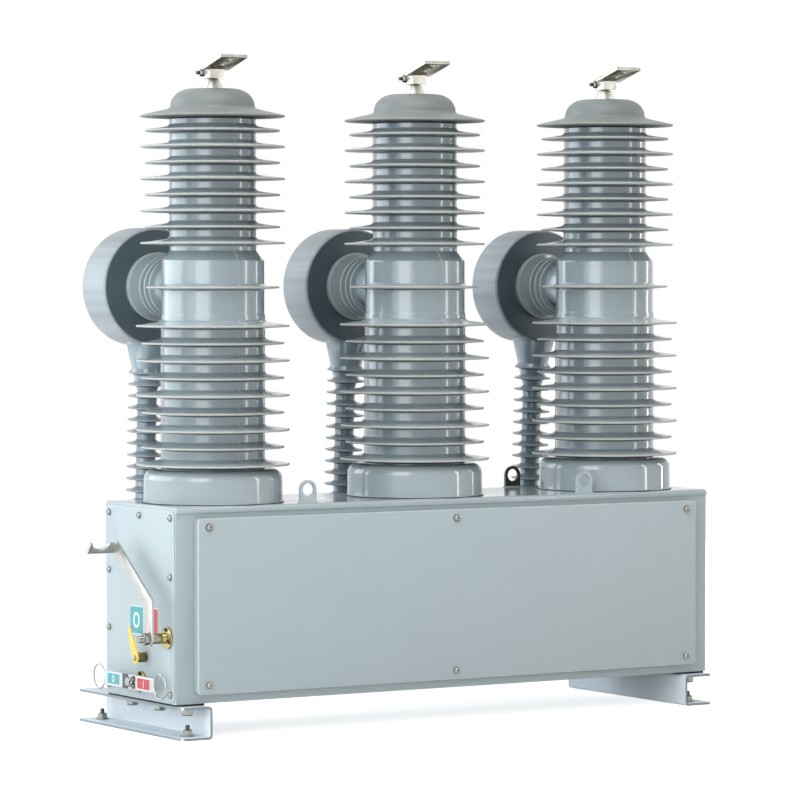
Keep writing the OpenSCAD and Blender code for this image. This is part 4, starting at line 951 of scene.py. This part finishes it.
# Cabinet screws. Pan-head machine screws with a cross recess hold the front cover and the two end plates.
# They are nickel plated and sit on flat washers.
pan_sizes = ("Head Radius", "Head Height", "Washer Radius", "Washer Height", "Recess Width", "Recess Length")
pan_head, given = new_tree("pan-head screw", {**dict.fromkeys(pan_sizes, "Float"), "Finish": "Material"})
ball = add(pan_head, "GeometryNodeMeshUVSphere", {"Segments": 24, "Rings": 12, "Radius": 1.0})
girth = {"X": given["Head Radius"], "Y": given["Head Radius"], "Z": given["Head Height"]}
size = add(pan_head, "ShaderNodeCombineXYZ", girth)
dome = add(pan_head, "GeometryNodeTransform", {"Geometry": ball.outputs["Mesh"], "Scale": size.outputs[0]})
recessed = add(pan_head, "GeometryNodeMeshBoolean", {"Mesh 1": dome.outputs[0]}, operation="DIFFERENCE")
for across, along in (("Recess Width", "Recess Length"), ("Recess Length", "Recess Width")):
    slot_size = {"X": given[across], "Y": given[along], "Z": given["Head Height"]}
    bar = add(pan_head, "ShaderNodeCombineXYZ", slot_size)
    cutter = add(pan_head, "GeometryNodeMeshCube", {"Size": bar.outputs[0]}).outputs[0]
    raised = add(pan_head, "ShaderNodeCombineXYZ", {"Z": given["Head Height"]})
    lifted = add(pan_head, "GeometryNodeTransform", {"Geometry": cutter, "Translation": raised.outputs[0]})
    pan_head.links.new(lifted.outputs[0], recessed.inputs["Mesh 2"])
sit = add(pan_head, "ShaderNodeCombineXYZ", {"Z": given["Washer Height"]})
cut = recessed.outputs["Mesh"]
seated = add(pan_head, "GeometryNodeTransform", {"Geometry": cut, "Translation": sit.outputs[0]})
sizes = {"Vertices": 28, "Radius Bottom": given["Washer Radius"], "Radius Top": given["Washer Radius"]}
washer = add(pan_head, "GeometryNodeMeshCone", {**sizes, "Depth": given["Washer Height"]})
stack = add(pan_head, "GeometryNodeJoinGeometry")
pan_head.links.new(seated.outputs[0], stack.inputs[0])
pan_head.links.new(washer.outputs["Mesh"], stack.inputs[0])
spread_on_points(pan_head, stack.outputs[0], given["Finish"])

nickel = plated("nickel plated screws", "9a9a95", "45443e", 0.18)
pan = {"Recess Width": 1.6, "Recess Length": 7.0, "Finish": nickel}
PLATE_PAN = {**pan, "Head Radius": 7.8, "Head Height": 7.0, "Washer Radius": 9.0, "Washer Height": 1.0}
COVER_PAN = {**pan, "Head Radius": 8.0, "Head Height": 6.5, "Washer Radius": 11.0, "Washer Height": 1.8}
PLATE_INSET, COVER_INSET_X, COVER_INSET_Z = 18.0, 30.0, 22.0
plate_screws = []
for node, corner, facing in (("operating_panel", 0, LEFT), ("end_plate", 1, RIGHT)):
    low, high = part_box(node)
    x = (low, high)[corner][0]
    front, back = low[1] + PLATE_INSET * MM, high[1] - PLATE_INSET * MM
    foot, head = low[2] + PLATE_INSET * MM, high[2] - PLATE_INSET * MM
    rows = [foot + (head - foot) * k / 3 for k in range(4)]
    plate_screws += [((x, y, z), facing) for y in (front, back) for z in rows]
    plate_screws += [((x, (front + back) / 2, z), facing) for z in (foot, head)]
finished(fasteners("plate_screws", pan_head, plate_screws, PLATE_PAN), "breaker", "panel")
low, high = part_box("front_cover")
cover_screws = [
    ((x, low[1], z), FRONT)
    for x in (low[0] + COVER_INSET_X * MM, 0.0, high[0] - COVER_INSET_X * MM)
    for z in (low[2] + COVER_INSET_Z * MM, high[2] - COVER_INSET_Z * MM)
]
finished(fasteners("cover_screws", pan_head, cover_screws, COVER_PAN), "breaker", "cover")


# Weld beads. The four lifting lugs are welded to the top plate along both sides, and the beads are enamelled
# with the plate. Small drops laid close together make the ripples.
welding, given = new_tree("weld bead", {"Drop Radius": "Float", "Finish": "Material"})
drop = add(welding, "GeometryNodeMeshIcoSphere", {"Radius": given["Drop Radius"], "Subdivisions": 2})
spread_on_points(welding, drop.outputs["Mesh"], given["Finish"])
LUG_X, LUG_INSET, LUG_W, LUG_T = 420.0, 14.0, 48.0, 7.0
RIPPLE, DROP, DROP_UP = 3.4, 3.2, 0.5
low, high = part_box("cabinet_shell")
ripples = round(LUG_W / RIPPLE)
drops = []
for x in (-LUG_X * MM, LUG_X * MM):
    for y in (low[1] + LUG_INSET * MM, high[1] - LUG_INSET * MM):
        for side in (-1, 1):
            for k in range(ripples + 1):
                along = (k / ripples - 0.5) * LUG_W
                drops.append(((x + along * MM, y + side * LUG_T / 2 * MM, lid_top + DROP_UP * MM), UP))
beads = fasteners("lug_welds", welding, drops, {"Drop Radius": DROP, "Finish": lid_enamel})
finished(beads, "breaker", "cabinet")


# Charging lever. A zinc-plated flat bar with a fork at its end turns on a shaft in a flanged brass bearing.
# The spacer on the shaft is olive passivated, and a galvanised nut holds the bar.
brass = plated("yellow passivated brass", "b5a268", "6d6038", 0.3)
spacer_zinc = plated("olive passivated zinc", "99987f", "5f5c46", 0.32)
zinc = plated("bright zinc plate on flat bar", "b4b4ae", "76736a", 0.42)
TRIM_EDGE = 0.6
BAR_OUT = 48.0
panel_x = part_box("operating_panel")[0][0]
finished(softened("lever_flange", "lever_bearing", TRIM_EDGE, brass), "breaker", "bearing", "lever_bearing")
shaft = softened("lever_spindle", "lever_shaft", TRIM_EDGE, spacer_zinc)
two_tone(shaft, galvanised, lambda at: at.x < panel_x - BAR_OUT * MM)
finished(shaft, "lever", "lever", "lever_shaft")
finished(softened("lever_bar", "charging_lever", TRIM_EDGE, zinc), "lever", "lever", "charging_lever")


# Position pointer. A pressed steel pointer, enamelled signal yellow, turns on a bronze boss and points to one
# of two label plates: an open ring on teal or a bar on red. Its hub and screw are bare zinc.
signal_yellow = enamel("signal yellow enamel", "dfb832", 0.36)
bronze = plated("darkened bronze", "8d7f55", "3a3524", 0.26)
boss = softened("pointer_boss_turned", "pointer_boss", TRIM_EDGE, bronze)
finished(boss, "breaker", "bearing", "pointer_boss")
pointer = softened("pointer_blade", "position_pointer", TRIM_EDGE, signal_yellow)
BLADE_OUT, BLADE_T, MARGIN = 28.0, 3.0, 0.2
blade_back = panel_x - (BLADE_OUT - MARGIN) * MM
blade_front = panel_x - (BLADE_OUT + BLADE_T + MARGIN) * MM
two_tone(pointer, zinc, lambda at: at.x > blade_back or at.x < blade_front)
finished(pointer, "pointer", "pointer", "position_pointer")


# Trip rocker. A white-lacquered bar with a polished pull ring at each end turns on a brass bearing under the
# pointer. Its two halves carry a teal and a red label plate. Three dark screws hold each bearing flange.
def flange_screws(node, radius, thick):
    """Three spots for screws round a bearing flange, the first at the top."""
    low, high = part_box(node)
    y, z = (low[1] + high[1]) / 2, (low[2] + high[2]) / 2
    x = panel_x - thick * MM
    turns = [math.radians(90 + 120 * k) for k in range(3)]
    return [((x, y + radius * MM * math.cos(t), z + radius * MM * math.sin(t)), LEFT) for t in turns]


white_lacquer = enamel("white lacquer on plated steel", "bdc1c0", 0.4)
polished = plated("polished steel wire", "a7a8a6", "55544f", 0.2)
flange = softened("rocker_flange", "rocker_bearing", TRIM_EDGE, brass)
finished(flange, "breaker", "bearing", "rocker_bearing")
rocker = softened("rocker_bar", "trip_rocker", TRIM_EDGE, white_lacquer)
low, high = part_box("trip_rocker")
rocker_y, rocker_z = (low[1] + high[1]) / 2, (low[2] + high[2]) / 2
ROCKER_HALF, ROCKER_OUT, ROCKER_T = 129.0, 33.0, 4.0
rocker_x = panel_x - (ROCKER_OUT + ROCKER_T) * MM
two_tone(
    rocker,
    polished,
    lambda at: abs(at.y - rocker_y) > ROCKER_HALF * MM or at.x < rocker_x - MARGIN * MM,
)
finished(rocker, "rocker", "rocker", "trip_rocker")
FLANGE_T, LEVER_SCREW_R, ROCKER_SCREW_R = 5.0, 20.5, 19.0
M5 = {"Washer Radius": 4.9, "Washer Height": 0.8, "Corner Radius": 4.4, "Head Height": 3.2}
dark = {"Finish": blackened, "End Finish": blackened, "End Radius": 2.0, "End Height": 0.3}
trim_spots = flange_screws("lever_bearing", LEVER_SCREW_R, FLANGE_T)
trim_spots += flange_screws("rocker_bearing", ROCKER_SCREW_R, FLANGE_T)
finished(fasteners("flange_screws", hexagon, trim_spots, {**M5, **dark}), "breaker", "bearing")


# Label plates. Printed vinyl on thin plates: white with a coloured field and a plain mark in white, a ring
# for open and a bar for closed. Two lie on the operating plate and two on the rocker.
def vinyl(name, code):
    """Printed vinyl film: even colour, satin, with a faint pebble that is drawn coarser than the real one."""
    PEBBLE = 1.5 * MM
    finish, tree, shader, place = new_finish(name)
    pebble = add(tree, "ShaderNodeTexNoise", {"Vector": place, "Scale": 1 / PEBBLE, "Detail": 1.0})
    tones = {0: pebble.outputs[0], 6: shade(code, 0.92), 7: linear(code)}
    tone = add(tree, "ShaderNodeMix", tones, data_type="RGBA")
    tree.links.new(tone.outputs[2], shader.inputs["Base Color"])
    skin = add(tree, "ShaderNodeBump", {"Height": pebble.outputs[0], "Strength": 0.04, "Distance": 0.1 * MM})
    tree.links.new(skin.outputs[0], shader.inputs["Normal"])
    shader.inputs["Roughness"].default_value = 0.36
    return finish


def slab(shape, outline, hole, base, top, index):
    """A thin slab with an optional hole of as many points; x is out of the panel, y and z lie in it."""
    low, high, hole_low, hole_high = (
        [shape.verts.new((d, u, v)) for u, v in loop] for loop in (outline, hole or []) for d in (base, top)
    )
    faces = []
    count = len(outline)
    for k in range(count):
        n = (k + 1) % count
        faces.append(shape.faces.new((low[k], low[n], high[n], high[k])))
        if hole:
            faces.append(shape.faces.new((hole_low[k], hole_high[k], hole_high[n], hole_low[n])))
            faces.append(shape.faces.new((high[k], high[n], hole_high[n], hole_high[k])))
            faces.append(shape.faces.new((low[k], hole_low[k], hole_low[n], low[n])))
    if not hole:
        faces += [shape.faces.new(high), shape.faces.new(low[::-1])]
    for face in faces:
        face.material_index = index


def mounted(name, shape, finishes, place):
    """The piece of a shape in mm whose x points out of the operating plate, with its back at place."""
    bmesh.ops.recalc_face_normals(shape, faces=shape.faces)
    mesh = bpy.data.meshes.new(name)
    shape.to_mesh(mesh)
    shape.free()
    mesh.transform(Matrix.Translation(place) @ Matrix.Diagonal((-MM, MM, MM, 1.0)))
    mesh.flip_normals()
    for finish in finishes:
        mesh.materials.append(finish)
    return placed(name, mesh)


def label(name, width, height, mark, field, place):
    """A label plate with its field and its mark; place is the middle of its back, and it faces outwards."""
    BORDER, PLATE, FILM, CORNER, FIELD_CORNER, BAR_CORNER, FLAT = 2.5, 0.8, 0.25, 4.0, 3.0, 0.8, 0.1
    MARK_TALL, MARK_WIDE, MARK_MOST, MARK_STROKE = 0.56, 0.8, 0.6, 0.17
    shape = bmesh.new()
    slab(shape, round_corners(width, height, CORNER), None, 0.0, PLATE, 0)
    inside = round_corners(width - 2 * BORDER, height - 2 * BORDER, FIELD_CORNER)
    slab(shape, inside, None, PLATE, PLATE + FILM, 1)
    tall = height * MARK_TALL
    wide = min(tall * MARK_WIDE, width * MARK_MOST)
    stroke = tall * MARK_STROKE
    hole = None
    if mark == "ring":
        outline = round_corners(wide, tall, wide / 2 - FLAT)
        hole = round_corners(wide - 2 * stroke, tall - 2 * stroke, wide / 2 - stroke - FLAT)
    else:
        outline = round_corners(stroke, tall, BAR_CORNER)
    slab(shape, outline, hole, PLATE + FILM, PLATE + 2 * FILM, 0)
    return mounted(name, shape, (white_vinyl, field), place)


white_vinyl = vinyl("white printed vinyl", "d0d3d3")
teal_vinyl = vinyl("teal printed vinyl", "389396")
red_vinyl = vinyl("red printed vinyl", "ae2a38")
SIGN_W, SIGN_H, SIGN_Z, OPEN_Y, SHUT_Y = 72.0, 72.0, 283.0, -48.0, -125.0
TAG_W, TAG_H, TAG_OUT = 68.0, 31.0, 79.0
for name, mark, field, y, side in (
    ("open", "ring", teal_vinyl, OPEN_Y, 1),
    ("closed", "bar", red_vinyl, SHUT_Y, -1),
):
    sign = label("sign_" + name, SIGN_W, SIGN_H, mark, field, (panel_x, y * MM, SIGN_Z * MM))
    finished(sign, "breaker", "panel")
    tag_y = rocker_y + side * TAG_OUT * MM
    tag = label("tag_" + name, TAG_W, TAG_H, mark, field, (rocker_x, tag_y, rocker_z))
    finished(tag, "rocker", "rocker")


# Rocker hub trim. A blackened stop plate lies beside the hub of the rocker, and two nuts on the other side
# hold its return spring behind the bar.
STOP_W, STOP_H, STOP_CORNER, STOP_T, STOP_OUT = 28.0, 36.0, 2.0, 1.5, 16.0
SPRING_OUT, SPRING_UP = 27.0, 8.0
M8 = {"Washer Radius": 8.5, "Washer Height": 1.5, "Corner Radius": 7.2, "Head Height": 6.0, **bright}
shape = bmesh.new()
slab(shape, round_corners(STOP_W, STOP_H, STOP_CORNER), None, 0.0, STOP_T, 0)
stop = mounted("rocker_stop", shape, (blackened,), (rocker_x, rocker_y + STOP_OUT * MM, rocker_z))
finished(stop, "rocker", "rocker")
spring_y = rocker_y - SPRING_OUT * MM
spring_spots = [((rocker_x, spring_y, rocker_z + z * MM), LEFT) for z in (-SPRING_UP, SPRING_UP)]
spring_nuts = fasteners("rocker_nuts", hexagon, spring_spots, {**M8, "End Radius": 3.5, "End Height": 4.0})
finished(spring_nuts, "rocker", "rocker")


# Sizes. The box of the dressed model, in metres.
low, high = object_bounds()
